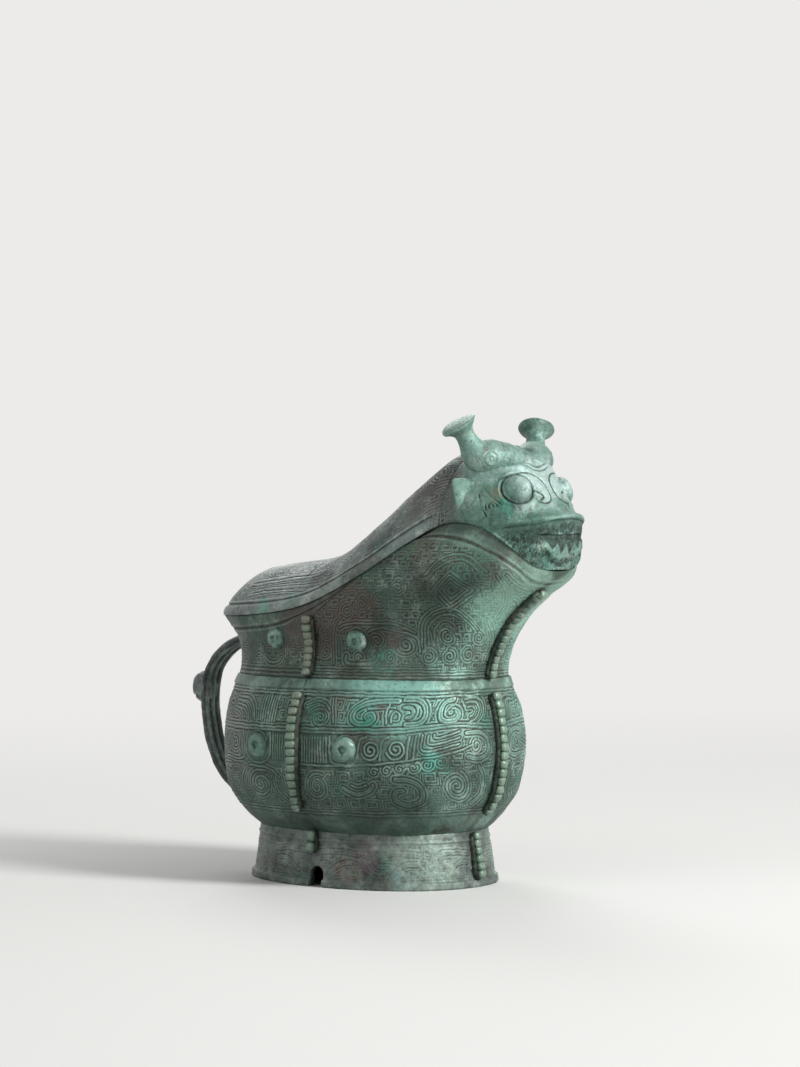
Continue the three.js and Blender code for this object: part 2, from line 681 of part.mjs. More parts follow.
function ear(hand) {
  const rings = EAR_RINGS.map((ring) => {
    return ring.map(([along, out, up]) => new THREE.Vector3(headX(along), EAR_OUT * out * hand, headZ(up)));
  });
  const bodies = loft(rings)
    .subtract(headSolid.translate([0, SEAT_GAP * 1.5 * hand, 0]))
    .subtract(shell.translate([SEAT_GAP, SEAT_GAP * hand, 0]))
    .decompose();
  return bodies.sort((a, b) => b.volume() - a.volume())[0];
}

const guang = new THREE.Group();

function place(name, made, finish) {
  const material = new THREE.MeshStandardMaterial(finish);
  const mesh = new THREE.Mesh(geometryOf(made), material);
  mesh.name = name;
  guang.add(mesh);
}

place("vessel_wall", vesselWall(), GREEN);
place("foot_ring", footRingPiece(), EARTHY);

const bandLow = BAND_Z - BAND_HEIGHT / 2;
const bandHigh = BAND_Z + BAND_HEIGHT / 2;
const vesselSolid = [vesselOutside];
const neckFrom = bandHigh + SEAT_GAP * 3;
const bellyTo = bandLow - SEAT_GAP * 3;
const footFrom = FOOT_LIP_HEIGHT + SEAT_GAP * 2;
const footTo = FOOT_HEIGHT - SEAT_GAP * 2;
place("front_flange_neck", flange(frontWall, neckFrom, FRONT_FLANGE.neck, 0, vesselSolid), GREEN);
place("front_flange_belly", flange(frontWall, FRONT_FLANGE.belly, bellyTo, 0, vesselSolid), GREEN);
place("front_flange_foot", flange(footFrontWall, footFrom, footTo, 0, [footOutside]), EARTHY);
for (const [name, turn] of [["right", -90], ["left", 90]]) {
  place(`${name}_flange_neck`, flange(sideWall, neckFrom, SIDE_FLANGE.neck, turn, vesselSolid), GREEN);
  place(`${name}_flange_belly`, flange(sideWall, SIDE_FLANGE.belly, bellyTo, turn, vesselSolid), GREEN);
  const low = name === "right" ? FOOT_FLANGE_STUB : footFrom;
  place(`${name}_flange_foot`, flange(footSideWall, low, footTo, turn, [footOutside]), EARTHY);
}
place("rear_flange_foot", flange(footFrontWall, footFrom, footTo, 180, [footOutside]), EARTHY);

for (const [name, hand] of [["right", -1], ["left", 1]]) {
  for (const [end, way] of [["front", 1], ["rear", -1]]) {
    place(`${name}_belly_eye_${end}`, eyeBoss(BELLY_EYE[end] * way, BELLY_EYE, hand), GREEN);
    place(`${name}_neck_eye_${end}`, eyeBoss(NECK_EYE[end] * way, NECK_EYE, hand), GREEN);
  }
}

place("handle_strap", strap, GREY);
place("handle_muzzle", handleMuzzle(), GREY);

place("lid_shell", shell, GREY);
place("dragon_head", head, PALE);
for (const [name, hand] of [["right", -1], ["left", 1]]) {
  place(`${name}_horn`, horn(hand), PALE);
  place(`${name}_eye`, eye(hand), PALE);
  place(`${name}_ear`, ear(hand), PALE);
}

export default guang;
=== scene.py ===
"""A covered bronze wine vessel of the guang type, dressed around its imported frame.

Shapes are worked out in millimetres, +X towards the spout and +Z up, and written to Blender in metres.
"""

import json
import logging
import math
from collections.abc import Callable, Iterator, Sequence
from dataclasses import dataclass
from enum import Enum
from functools import cache

import bmesh
import bpy
import numpy as np
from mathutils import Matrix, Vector

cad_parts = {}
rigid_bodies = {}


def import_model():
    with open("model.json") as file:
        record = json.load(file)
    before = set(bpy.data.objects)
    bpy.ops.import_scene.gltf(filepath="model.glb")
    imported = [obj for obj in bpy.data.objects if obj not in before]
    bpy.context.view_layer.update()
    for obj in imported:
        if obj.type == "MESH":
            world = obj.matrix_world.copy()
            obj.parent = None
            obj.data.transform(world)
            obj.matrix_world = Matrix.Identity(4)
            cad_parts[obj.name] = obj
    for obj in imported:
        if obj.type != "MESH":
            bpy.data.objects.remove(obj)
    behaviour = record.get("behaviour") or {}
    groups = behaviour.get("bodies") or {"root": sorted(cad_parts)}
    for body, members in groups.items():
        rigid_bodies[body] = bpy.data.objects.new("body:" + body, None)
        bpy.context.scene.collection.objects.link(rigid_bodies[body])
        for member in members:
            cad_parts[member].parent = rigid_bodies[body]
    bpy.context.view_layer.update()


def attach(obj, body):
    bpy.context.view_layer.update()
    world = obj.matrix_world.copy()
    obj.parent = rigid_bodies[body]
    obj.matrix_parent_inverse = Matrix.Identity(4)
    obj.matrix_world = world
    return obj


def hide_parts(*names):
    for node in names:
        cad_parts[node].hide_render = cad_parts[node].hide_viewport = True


Array = np.ndarray
Point = tuple[float, float]
Place = tuple[float, float, float]

log = logging.getLogger("guang")
MM = 0.001

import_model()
GRAIN = 0.342  # spacing of the carved surface's points, in millimetres


class Side(Enum):
    """The vessel's two sides, as seen from behind it."""

    RIGHT = -1
    LEFT = 1


class End(Enum):
    """The vessel's two ends."""

    FRONT = 1
    REAR = -1


# Curves and forms


class Profile:
    """A smooth curve through (place, value) pairs, flat beyond its ends."""

    def __init__(self, pairs: Sequence[Point]) -> None:
        """Keep the pairs and their slopes.

        Args:
            pairs: places in rising order, each with its value.
        """
        table = np.array(pairs, float)
        self.place, self.value = table[:, 0], table[:, 1]
        each = np.arange(len(table))
        ahead = np.minimum(each + 1, each[-1])
        behind = np.maximum(each - 1, 0)
        self.slope = (self.value[ahead] - self.value[behind]) / (self.place[ahead] - self.place[behind])

    def __call__(self, at: Array | float) -> Array:
        """The curve's value.

        Args:
            at: where to read it.

        Returns:
            One value for each place.
        """
        x = np.clip(np.asarray(at, float), self.place[0], self.place[-1])
        i = np.clip(np.searchsorted(self.place, x, side="left") - 1, 0, len(self.place) - 2)
        span = self.place[i + 1] - self.place[i]
        t = (x - self.place[i]) / span
        start = (1 + 2 * t) * (1 - t) ** 2 * self.value[i] + t * (1 - t) ** 2 * span * self.slope[i]
        end = t * t * (3 - 2 * t) * self.value[i + 1] + t * t * (t - 1) * span * self.slope[i + 1]
        return start + end


# height of the rim along x, then the wall's reach to the front, the rear and the side at each height
RIM = Profile([(-94, 130), (-50.4, 130.5), (-6, 136), (30, 151.5), (49, 164.5), (63, 173.7), (75, 176.5),
               (89, 174.3), (100, 168), (107, 161), (112, 154), (122, 145)])
FRONT = Profile([(20.5, 50), (27, 60), (35, 66.5), (46, 73.5), (66, 77), (84, 75), (97, 71), (103, 70.3),
                 (110, 72), (120, 76.5), (132, 85.5), (142, 97.5), (151, 111), (163, 114), (188.5, 114.5)])
REAR = Profile([(20.5, 50), (27, 60), (35, 67), (46, 74), (66, 77), (84, 75.5), (97, 73), (103, 71.5),
                (112, 72), (119, 74.5), (125, 79.5), (130, 84)])
HALF = Profile([(20.5, 35.5), (27, 45.5), (35, 54.5), (46, 59.5), (66, 61.5), (84, 60), (97, 54), (103, 50.5),
                (112, 48), (120, 48), (130, 50), (151.5, 48), (164.5, 41), (176.5, 32), (188.5, 30)])
MIDDLE = Profile([(130, 0), (151.5, 30), (164.5, 50), (176.5, 70)])  # x of the widest place
LOWEST = 20.5
VIEW_TURN = 38.0
WALL = 3.2
PLAN_POWER = 2.4
BELLY_Z = 66.0
BELLY_EYE_FRONT, BELLY_EYE_Z = 29.0, 68.5
NECK_EYE_FRONT, NECK_EYE_Z = 26.5, 120.0
EYE_REAR = 24.0


def reach_of(ahead: Array, z: Array | float) -> Array:
    """Distance from the widest place to the front, where ahead is true, or else to the rear."""
    return np.where(ahead, FRONT(z) - MIDDLE(z), REAR(z) + MIDDLE(z))


def ring(turn: Array, z: Array, inset: float = 0.0) -> Array:
    """Points round the vessel's outside.

    Args:
        turn: angles from the front, in radians, from 0 to pi.
        z: their heights.
        inset: how far inside the surface they lie.

    Returns:
        An array of points, one for each pair of turn and z.
    """
    turn, z = np.broadcast_arrays(turn, z)
    c, s = np.cos(turn), np.sin(turn)
    x = MIDDLE(z) + np.sign(c) * np.abs(c) ** (2 / PLAN_POWER) * (reach_of(c > 0, z) - inset)
    y = np.abs(s) ** (2 / PLAN_POWER) * (HALF(z) - inset)
    return np.stack([x, y, z], -1)


def half_width(x: Array | float, z: Array | float, inset: float = 0.0) -> Array:
    """Half the vessel's width at a place along it.

    Args:
        x: places along the vessel.
        z: heights.
        inset: how far inside the surface.

    Returns:
        Distances from the middle plane.
    """
    reach = reach_of(x > MIDDLE(z), z) - inset
    share = np.minimum(np.abs(x - MIDDLE(z)) / reach, 1)
    return (HALF(z) - inset) * (1 - share**PLAN_POWER) ** (1 / PLAN_POWER)


def run_along(points: Array) -> Array:
    """Distance to each point along a line, or along each line of a grid's first axis."""
    steps = np.linalg.norm(np.diff(points, axis=0), axis=-1)
    return np.concatenate([np.zeros((1, *steps.shape[1:])), np.cumsum(steps, axis=0)])


def resample(table: Array, run: Array, at: Array) -> list[Array]:
    """Smooth curves through a table's columns.

    Args:
        table: one row for each known place.
        run: those places, in rising order.
        at: the places to read.

    Returns:
        The values of each column at the places.
    """
    return [Profile(list(zip(run, column)))(at) for column in table.T]


def even_turns(end: End, count: int) -> Array:
    """Turns that lie evenly round a quarter of the belly.

    Args:
        end: the quarter's end of the vessel.
        count: how many steps.

    Returns:
        count + 1 angles, from the side to the end.
    """
    fine = np.linspace(math.pi / 2, 0 if end is End.FRONT else math.pi, 2000)
    run = run_along(ring(fine, np.full(fine.shape, BELLY_Z)))
    return np.interp(np.linspace(0, run[-1], count + 1), run, fine)


def rim_height_at(turn: Array) -> Array:
    """Height at which each turn's line up the wall meets the rim's curve."""
    low, high = np.full(turn.shape, 110.0), np.full(turn.shape, 184.0)
    for _ in range(40):  # halves the span each time
        mid = (low + high) / 2
        under = mid < RIM(ring(turn, mid)[..., 0])
        low, high = np.where(under, mid, low), np.where(under, high, mid)
    return (low + high) / 2


def side_run(points: Array) -> Array:
    """Distance round the wall from the side's middle, for points of a quarter of the vessel.

    Args:
        points: a grid of points whose first axis runs from the side to the end.

    Returns:
        For each point the length along its own level, from x = 0.
    """
    x, z = points[..., 0], points[..., 2]
    steps = 60
    total = np.zeros(x.shape)
    gap = np.abs(x) / steps
    before = half_width(np.zeros(x.shape), z)
    for k in range(1, steps + 1):
        here = half_width(x * k / steps, z)
        total += np.hypot(gap, here - before)
        before = here
    return total


def normals_of(grid: Array) -> Array:
    """Unit normals of a grid of points, by the cross product of its two directions."""
    along_u = np.gradient(grid, axis=0)
    along_v = np.gradient(grid, axis=1)
    normal = np.cross(along_u, along_v)
    size = np.linalg.norm(normal, axis=-1, keepdims=True)
    return normal / np.maximum(size, 1e-9)


def facing_out(normal: Array, away: Array) -> Array:
    """The normals, all turned round if they point against the way out."""
    return -normal if (normal * away).sum() < 0 else normal


def bump(value: Array, width: float) -> Array:
    """A bell that is 1 where the value is 0 and fades within a few widths."""
    return np.exp(-((value / width) ** 2))


def smooth(value: Array, low: float, high: float) -> Array:
    """A smooth step from 0 at low to 1 at high."""
    t = np.clip((value - low) / (high - low), 0, 1)
    return t * t * (3 - 2 * t)


def lumps(a: Array, b: Array, cell: float, seed: int) -> Array:
    """Soft seeded noise from -1 to 1 over two coordinates.

    Args:
        a: first coordinate, in millimetres.
        b: second coordinate.
        cell: size of one lump.
        seed: which pattern.

    Returns:
        One value for each pair.
    """
    size = 64  # cells after which the pattern comes again
    table = np.random.default_rng(seed).uniform(-1, 1, (size, size))
    u, v = a / cell, b / cell
    i, j = np.floor(u).astype(int), np.floor(v).astype(int)
    fu, fv = u - i, v - j
    fu, fv = fu * fu * (3 - 2 * fu), fv * fv * (3 - 2 * fv)
    i, j = i % size, j % size
    ii, jj = (i + 1) % size, (j + 1) % size
    low = table[i, j] * (1 - fu) + table[ii, j] * fu
    high = table[i, jj] * (1 - fu) + table[ii, jj] * fu
    return low * (1 - fv) + high * fv


def rough(a: Array, b: Array, *layers: tuple[float, float, int]) -> Array:
    """Noise in layers, each a height, the size of its lumps and a seed."""
    return sum(tall * lumps(a, b, cell, seed) for tall, cell, seed in layers)


# Carved ornament


def waver(a: Array, b: Array, seed: int) -> tuple[Array, Array]:
    """Places shaken a little, so that lines drawn at them run as a hand cuts them."""
    return (a + rough(a, b, (0.24, 3.4, seed), (0.1, 1.4, seed + 1)),
            b + rough(a, b, (0.24, 3.4, seed + 2), (0.1, 1.4, seed + 3)))


def flow(points: Sequence[Sequence[float]], steps: int = 5) -> list[tuple[float, ...]]:
    """A smooth line through a few points in a plane or in space.

    Args:
        points: the places that it passes.
        steps: new points for each stretch.

    Returns:
        The line's points.
    """
    table = np.array(points, float)
    padded = np.concatenate([2 * table[:1] - table[1:2], table, 2 * table[-1:] - table[-2:-1]])
    out = [tuple(table[0])]
    for a, b, c, d in zip(padded[:-3], padded[1:-2], padded[2:-1], padded[3:]):
        square, cube = 2 * a - 5 * b + 4 * c - d, 3 * b - a - 3 * c + d
        for k in range(1, steps + 1):
            t = k / steps
            out.append(tuple(0.5 * (2 * b + (c - a) * t + square * t**2 + cube * t**3)))
    return out


def scroll(centre: Point, radius: float, turns: float, hand: int, start: float,
           flat: float = 1.0) -> list[Point]:
    """Points of a scroll that winds in evenly from its outer end.

    Args:
        centre: its middle.
        radius: of its outer end.
        turns: how many.
        hand: 1 or -1, the way it winds.
        start: angle of its outer end, in degrees.
        flat: height over width.

    Returns:
        The points, outer end first.
    """
    count = max(12, round(turns * 20))
    inner_end = 0.12  # radius there over the radius at the start
    out = []
    for i in range(count + 1):
        share = i / count
        angle = math.radians(start) + hand * share * turns * 2 * math.pi
        r = radius * (1 - (1 - inner_end) * share)
        out.append((centre[0] + r * math.cos(angle), centre[1] + r * math.sin(angle) * flat))
    return out


def square_scroll(corner: Point, wide: float, tall: float, pitch: float,
                  flip: tuple[bool, bool]) -> list[Point]:
    """Points of a squared scroll, the unit of the thunder pattern.

    Args:
        corner: its low corner.
        wide: its width.
        tall: its height.
        pitch: distance from one line to the next.
        flip: whether it is mirrored across and up.

    Returns:
        The points, outer end first.
    """
    low, high = [0.0, 0.0], [wide, tall]
    points: list[Point] = [(0.0, tall * 0.55), (0.0, 0.0)]
    side = 0
    while high[0] - low[0] > pitch * 0.6 and high[1] - low[1] > pitch * 0.6:
        at = points[-1]
        if side == 0:
            points.append((high[0], at[1]))
            low[1] += pitch
        elif side == 1:
            points.append((at[0], high[1]))
            high[0] -= pitch
        elif side == 2:
            low[0] += pitch
            points.append((low[0], at[1]))
            high[1] -= pitch
        else:
            points.append((at[0], low[1]))
        side = (side + 1) % 4
    return [(corner[0] + (wide - x if flip[0] else x), corner[1] + (tall - y if flip[1] else y))
            for x, y in points]


def soften(table: Array, reach: int) -> Array:
    """The mean of each place's square neighbourhood."""
    for axis in (0, 1):
        wide = np.concatenate([np.repeat(table.take([0], axis), reach + 1, axis), table,
                               np.repeat(table.take([-1], axis), reach, axis)], axis)
        total = np.cumsum(wide, axis, dtype=float)
        count = table.shape[axis]
        near, far = np.arange(count), np.arange(count) + 2 * reach + 1
        table = (total.take(far, axis) - total.take(near, axis)) / (2 * reach + 1)
    return table


class Ornament:
    """A sheet of cast ornament: raised lines, the threads that echo them, and a ground of squared scrolls.

    Lines are kept as distances, so that the threads between them run alongside as on the cast bronze.
    """

    STEP = 0.2  # distance between the sheet's points, in millimetres
    PITCH = 1.5  # from a line to its echo
    CLOSE = 1.2  # from one line of a squared scroll to the next
    THREAD = 0.82  # width of a line
    SOFT = 0.36  # width of its worn edge
    FAR = 9.0  # a distance at which nothing is drawn
    BROAD = 1.4  # width from which a line has a groove along its middle
    THREAD_TALL, FILL_TALL, GROOVE_DEEP = 0.34, 0.3, 0.2

    def __init__(self, low: Point, high: Point) -> None:
        """Lay out an empty sheet.

        Args:
            low: its low corner, in millimetres.
            high: its high corner.
        """
        self.low = low
        self.shape = tuple(int(math.ceil((h - l) / self.STEP)) + 2 for l, h in zip(low, high))
        self.near, self.alone, self.ground, self.spine = (
            np.full(self.shape, self.FAR, np.float32) for _ in range(4))
        self.cuts, self.tall = (np.zeros(self.shape, np.float32) for _ in range(2))
        self.open = np.ones(self.shape, np.float32)
        self.axes = [low[k] + np.arange(self.shape[k]) * self.STEP for k in range(2)]

    def stretches(self, points: Sequence[Point], reach: float) -> Iterator[tuple[tuple[slice, slice], Array]]:
        """Distances from each stretch of a line.

        Args:
            points: the line.
            reach: how far from the line they are wanted.

        Yields:
            A window of the sheet round each stretch, and its distances from that stretch.
        """
        for (x0, y0), (x1, y1) in zip(points[:-1], points[1:]):
            spans = []
            for k, (p, q) in enumerate(((x0, x1), (y0, y1))):
                first = int((min(p, q) - reach - self.low[k]) / self.STEP)
                last = int((max(p, q) + reach - self.low[k]) / self.STEP) + 2
                spans.append(slice(max(first, 0), max(min(last, self.shape[k]), 0)))
            a = self.axes[0][spans[0], None]
            b = self.axes[1][None, spans[1]]
            if a.size == 0 or b.size == 0:
                continue
            dx, dy = x1 - x0, y1 - y0
            t = np.clip(((a - x0) * dx + (b - y0) * dy) / max(dx * dx + dy * dy, 1e-9), 0, 1)
            yield (spans[0], spans[1]), np.hypot(a - x0 - t * dx, b - y0 - t * dy)

    def limb(self, points: Sequence[Point], wide: float, tall: float) -> None:
        """Draw a raised line that threads echo.

        Args:
            points: its middle line.
            wide: its width.
            tall: its height.
        """
        half = (wide - self.THREAD) / 2
        for window, away in self.stretches(flow(points), half + 4.0):
            closer = away - half < self.near[window]
            self.near[window] = np.where(closer, away - half, self.near[window])
            self.tall[window] = np.where(closer, tall, self.tall[window])
            if wide > self.BROAD:
                np.minimum(self.spine[window], away, out=self.spine[window])

    def thread(self, points: Sequence[Point], curved: bool = True) -> None:
        """Draw one thin line that nothing echoes."""
        for window, away in self.stretches(flow(points) if curved else points, 2.4):
            np.minimum(self.alone[window], away, out=self.alone[window])

    def cut(self, points: Sequence[Point], wide: float, deep: float) -> None:
        """Engrave one line."""
        for window, away in self.stretches(flow(points), wide):
            groove = deep * (1 - smooth(away, wide * 0.25, wide * 0.75))
            np.maximum(self.cuts[window], groove, out=self.cuts[window])

    def levels(self, heights: Sequence[float], start: float, end: float) -> None:
        """Draw level threads."""
        for z in heights:
            self.thread([(start, z), (end, z)], False)

    def comb(self, low: Point, high: Point, gap: float) -> None:
        """Fill a rectangle with upright threads."""
        for x in np.arange(low[0], high[0] + 0.01, gap):
            self.thread([(float(x), low[1]), (float(x), high[1])], False)

    def nest(self, outline: Sequence[Point], centre: Point, count: int) -> None:
        """Draw a shape and its smaller copies, one inside the other."""
        u, v = centre
        for size in (1 - k / count for k in range(count)):
            self.thread([(u + (x - u) * size, v + (y - v) * size) for x, y in outline], False)

    def blank(self, low: Point, high: Point) -> None:
        """Keep the ground and the echoes out of a rectangle."""
        first, last = ([max(int((v - l) / self.STEP), 0) for v, l in zip(corner, self.low)]
                       for corner in (low, high))
        self.open[first[0]:last[0], first[1]:last[1]] = 0

    def thunder(self, low: Point, high: Point, wide: float, tall: float, seed: int) -> None:
        """Fill a rectangle with rows of squared scrolls.

        Args:
            low: its low corner.
            high: its high corner.
            wide: width of one scroll.
            tall: height of one row.
            seed: which way each scroll turns.
        """
        pick = np.random.default_rng(seed)
        rows = max(1, round((high[1] - low[1]) / tall))
        step = (high[1] - low[1]) / rows
        for row in range(rows):
            x = low[0] - (wide * 0.4 if row % 2 else 0)
            while x < high[0]:
                across = wide * pick.uniform(0.88, 1.18)
                flip = (bool(pick.integers(2)), bool(row % 2))
                corner = (x, low[1] + row * step)
                points = square_scroll(corner, across - self.CLOSE, step - self.CLOSE, self.CLOSE, flip)
                for window, away in self.stretches(points, 1.6):
                    np.minimum(self.ground[window], away, out=self.ground[window])
                x += across

    def line_of(self, away: Array, thin: float = 1.0) -> Array:
        """The rounded section of a thread, from its distances."""
        half = self.THREAD * thin / 2
        return 1 - smooth(away, half - self.SOFT / 2, half + self.SOFT / 2)

    def heights(self) -> Array:
        """The whole sheet, softened as worn casting is."""
        clear = smooth(self.alone, self.PITCH * 0.55, self.PITCH * 0.8)
        drawn = self.line_of(self.near) * self.tall - self.GROOVE_DEEP * self.line_of(self.spine, 0.75)
        echo = self.line_of(np.abs(self.near - self.PITCH))
        limit = self.PITCH * 1.6
        ground = self.line_of(self.ground, 0.8) * smooth(self.near, limit - 0.15, limit + 0.15)
        fill = np.maximum(echo, ground) * clear * self.open * self.FILL_TALL
        sheet = np.maximum(drawn, np.maximum(fill, self.line_of(self.alone) * self.THREAD_TALL)) - self.cuts
        return soften(sheet, 1) * 0.5 + sheet * 0.5

    def sample(self, a: Array, b: Array) -> tuple[Array, Array]:
        """Read the sheet.

        Args:
            a: places along it.
            b: places up it.

        Returns:
            The height at each place, and how far it stands above or below its surroundings.
        """
        sheet = self.heights()
        spare = sheet - soften(sheet, 5)
        u = np.clip((a - self.low[0]) / self.STEP, 0, self.shape[0] - 1.001)
        v = np.clip((b - self.low[1]) / self.STEP, 0, self.shape[1] - 1.001)
        i, j = u.astype(int), v.astype(int)
        fu, fv = u - i, v - j
        out = []
        for table in (sheet, spare):
            low = table[i, j] * (1 - fu) + table[i + 1, j] * fu
            high = table[i, j + 1] * (1 - fu) + table[i + 1, j + 1] * fu
            out.append(low * (1 - fv) + high * fv)
        return out[0], out[1]


# Meshes


def stand(name: str, data: bpy.types.ID) -> bpy.types.Object:
    """Put new data in the scene as an object at the origin."""
    made = bpy.data.objects.new(name, data)
    bpy.context.scene.collection.objects.link(made)
    return made


def read_points(mesh: bpy.types.Mesh) -> Array:
    """A mesh's points, in metres."""
    points = np.zeros(len(mesh.vertices) * 3)
    mesh.vertices.foreach_get("co", points)
    return points.reshape(-1, 3)


def write_points(mesh: bpy.types.Mesh, points: Array) -> None:
    """Set a mesh's points, in metres."""
    mesh.vertices.foreach_set("co", points.astype(np.float32).ravel())


def write_relief(mesh: bpy.types.Mesh, relief: Array) -> None:
    """Keep each point's relief, 0 in a hollow and 1 on a crest, where the finishes read it."""
    attribute = mesh.attributes.get("relief") or mesh.attributes.new("relief", "FLOAT", "POINT")
    attribute.data.foreach_set("value", relief.astype(np.float32))


def band(ids: Array, looped: bool = True) -> Array:
    """Quads over a grid of point numbers, closed round its first axis where it is looped."""
    here = np.arange(len(ids) if looped else len(ids) - 1)
    there = (here + 1) % len(ids)
    return np.stack([ids[here, :-1], ids[there, :-1], ids[there, 1:], ids[here, 1:]], -1).reshape(-1, 4)


@dataclass
class Skin:
    """Points and faces of one mesh, with the relief of each point."""

    points: Array
    quads: Array
    wide_faces: list[list[int]]
    relief: Array

    def volume(self) -> float:
        """Signed volume, which is positive when the faces point outwards."""
        p, q = self.points, self.quads
        total = 0.0
        for a, b, c in ((0, 1, 2), (0, 2, 3)):
            total += float(np.einsum("ij,ij->i", p[q[:, a]], np.cross(p[q[:, b]], p[q[:, c]])).sum())
        for face in self.wide_faces:
            for k in range(1, len(face) - 1):
                total += float(np.dot(p[face[0]], np.cross(p[face[k]], p[face[k + 1]])))
        return total / 6

    def build(self, name: str) -> bpy.types.Object:
        """Make the Blender object, with its faces turned outwards.

        Args:
            name: the piece's name.

        Returns:
            The new object, at the origin.
        """
        quads, wide = self.quads, self.wide_faces
        if self.volume() < 0:
            quads = quads[:, ::-1]
            wide = [face[::-1] for face in wide]
        mesh = bpy.data.meshes.new(name)
        mesh.vertices.add(len(self.points))
        write_points(mesh, self.points * MM)
        corners = np.array([i for face in wide for i in face], int)
        counts = np.array([len(face) for face in wide], int)
        loops = np.concatenate([quads.ravel(), corners]).astype(np.int32)
        sizes = np.concatenate([np.full(len(quads), 4), counts]).astype(np.int32)
        starts = np.concatenate([[0], np.cumsum(sizes)[:-1]]).astype(np.int32)
        mesh.loops.add(len(loops))
        mesh.loops.foreach_set("vertex_index", loops)
        mesh.polygons.add(len(sizes))
        mesh.polygons.foreach_set("loop_start", starts)
        mesh.polygons.foreach_set("loop_total", sizes)
        mesh.update(calc_edges=True)
        mesh.polygons.foreach_set("use_smooth", np.ones(len(sizes), bool))
        write_relief(mesh, self.relief)
        mesh.validate()
        return stand(name, mesh)


BACK_RELIEF = 0.35
PLAIN_RELIEF = 0.6


def rows_over(length: float, grain: float, back_rows: int) -> int:
    """How many rows of cells cover a length, a multiple of the rows on the wall's back."""
    return int(math.ceil(length / grain / back_rows)) * back_rows


def slab(outer: Array, inner: Array, relief: Array, looped: bool = False) -> Skin:
    """Close a carved sheet into a wall with a plain back.

    Args:
        outer: grid of the carved face's points.
        inner: grid of the back's points, with as many columns and fewer rows.
        relief: relief of each carved point.
        looped: whether the columns run right round.

    Returns:
        The closed wall.
    """
    columns, rows = outer.shape[:2]
    back_rows = inner.shape[1]
    each = (rows - 1) // (back_rows - 1)
    front_id = np.arange(columns * rows).reshape(columns, rows)
    back_id = columns * rows + np.arange(columns * back_rows).reshape(columns, back_rows)
    quads = [band(front_id, looped), band(back_id, looped)[:, ::-1]]
    for edge in (0, -1):
        seam = band(np.stack([back_id[:, edge], front_id[:, edge]], -1), looped)
        quads.append(seam if edge == 0 else seam[:, ::-1])
    sides: list[list[int]] = []
    if not looped:
        for r in range(back_rows - 1):
            run = list(range(r * each, (r + 1) * each + 1))
            sides.append([int(front_id[0, j]) for j in run] + [int(back_id[0, r + 1]), int(back_id[0, r])])
            far = [int(front_id[-1, j]) for j in reversed(run)]
            sides.append(far + [int(back_id[-1, r]), int(back_id[-1, r + 1])])
    points = np.concatenate([outer.reshape(-1, 3), inner.reshape(-1, 3)])
    height = np.concatenate([relief.ravel(), np.full(columns * back_rows, BACK_RELIEF)])
    return Skin(points, np.concatenate(quads), sides, height)


def lathe(profile: Sequence[Point], around: int, facing: Place, at: Place,
          dents: Callable[[Array], Array]) -> Skin:
    """A turned piece that stands on a place and faces a way.

    Args:
        profile: (radius, height) pairs, from the axis to the axis.
        around: points round it.
        facing: direction of its axis.
        at: where its height is 0.
        dents: gives the relief of points in the piece's own frame.

    Returns:
        The closed skin.
    """
    rows = np.array(profile, float)
    turn = np.linspace(0, 2 * math.pi, around, endpoint=False)[:, None]
    radius, level = rows[None, 1:-1, 0], rows[None, 1:-1, 1]
    local = np.stack([np.cos(turn) * radius, np.sin(turn) * radius, level + 0 * turn], -1)
    height = dents(local)
    normal = normals_of(np.concatenate([local[-1:], local, local[:1]]))[1:-1]
    local = local + facing_out(normal, local * (1, 1, 0)) * height[..., None]
    w = np.array(facing, float)
    w /= np.linalg.norm(w)
    u = np.cross(w, (0, 0, 1))
    u /= np.linalg.norm(u)
    poles = [[0, 0, rows[0, 1]], [0, 0, rows[-1, 1]]]
    points = np.concatenate([local.reshape(-1, 3), poles]) @ np.stack([u, np.cross(w, u), w]) + np.array(at)
    ids = np.arange(local[..., 0].size).reshape(around, -1)
    ahead = np.roll(ids, -1, axis=0)
    caps = [[ids.size, int(b), int(a)] for a, b in zip(ids[:, 0], ahead[:, 0])]
    caps += [[ids.size + 1, int(a), int(b)] for a, b in zip(ids[:, -1], ahead[:, -1])]
    relief = np.concatenate([np.clip(PLAIN_RELIEF + height.ravel(), 0, 1), [PLAIN_RELIEF] * 2])
    return Skin(points, band(ids), caps, relief)


def smooth_profile(profile: Sequence[Point], count: int) -> list[Point]:
    """A profile resampled on a smooth curve through its points."""
    table = np.array(profile, float)
    run = run_along(table)
    r, h = resample(table, run, np.linspace(0, run[-1], count))
    r[0], r[-1] = table[0, 0], table[-1, 0]
    return list(zip(np.maximum(r, 0), h))


def way_along(path: Array) -> Array:
    """Unit direction of a path at each of its points."""
    way = np.gradient(path, axis=0)
    return way / np.linalg.norm(way, axis=1, keepdims=True)


def sweep(path: Array, section: Array) -> Array:
    """Points of a section carried along a path in the middle plane.

    Args:
        path: points of the path.
        section: (across, out) pairs of the section.

    Returns:
        A grid of points, path along the first axis.
    """
    wide = np.array((0.0, 1.0, 0.0))
    out = np.cross(way_along(path), wide)
    return path[:, None] + section[None, :, :1] * wide + section[None, :, 1:] * out[:, None]


def tube(grid: Array) -> Skin:
    """Close a swept grid: its sections are rings and its two ends are capped."""
    ids = np.arange(grid[..., 0].size).reshape(grid.shape[:2])
    ends = [[int(i) for i in ids[0]], [int(i) for i in ids[-1][::-1]]]
    return Skin(grid.reshape(-1, 3), band(ids.T)[:, (0, 3, 2, 1)], ends, np.full(ids.size, PLAIN_RELIEF))


# Finishes


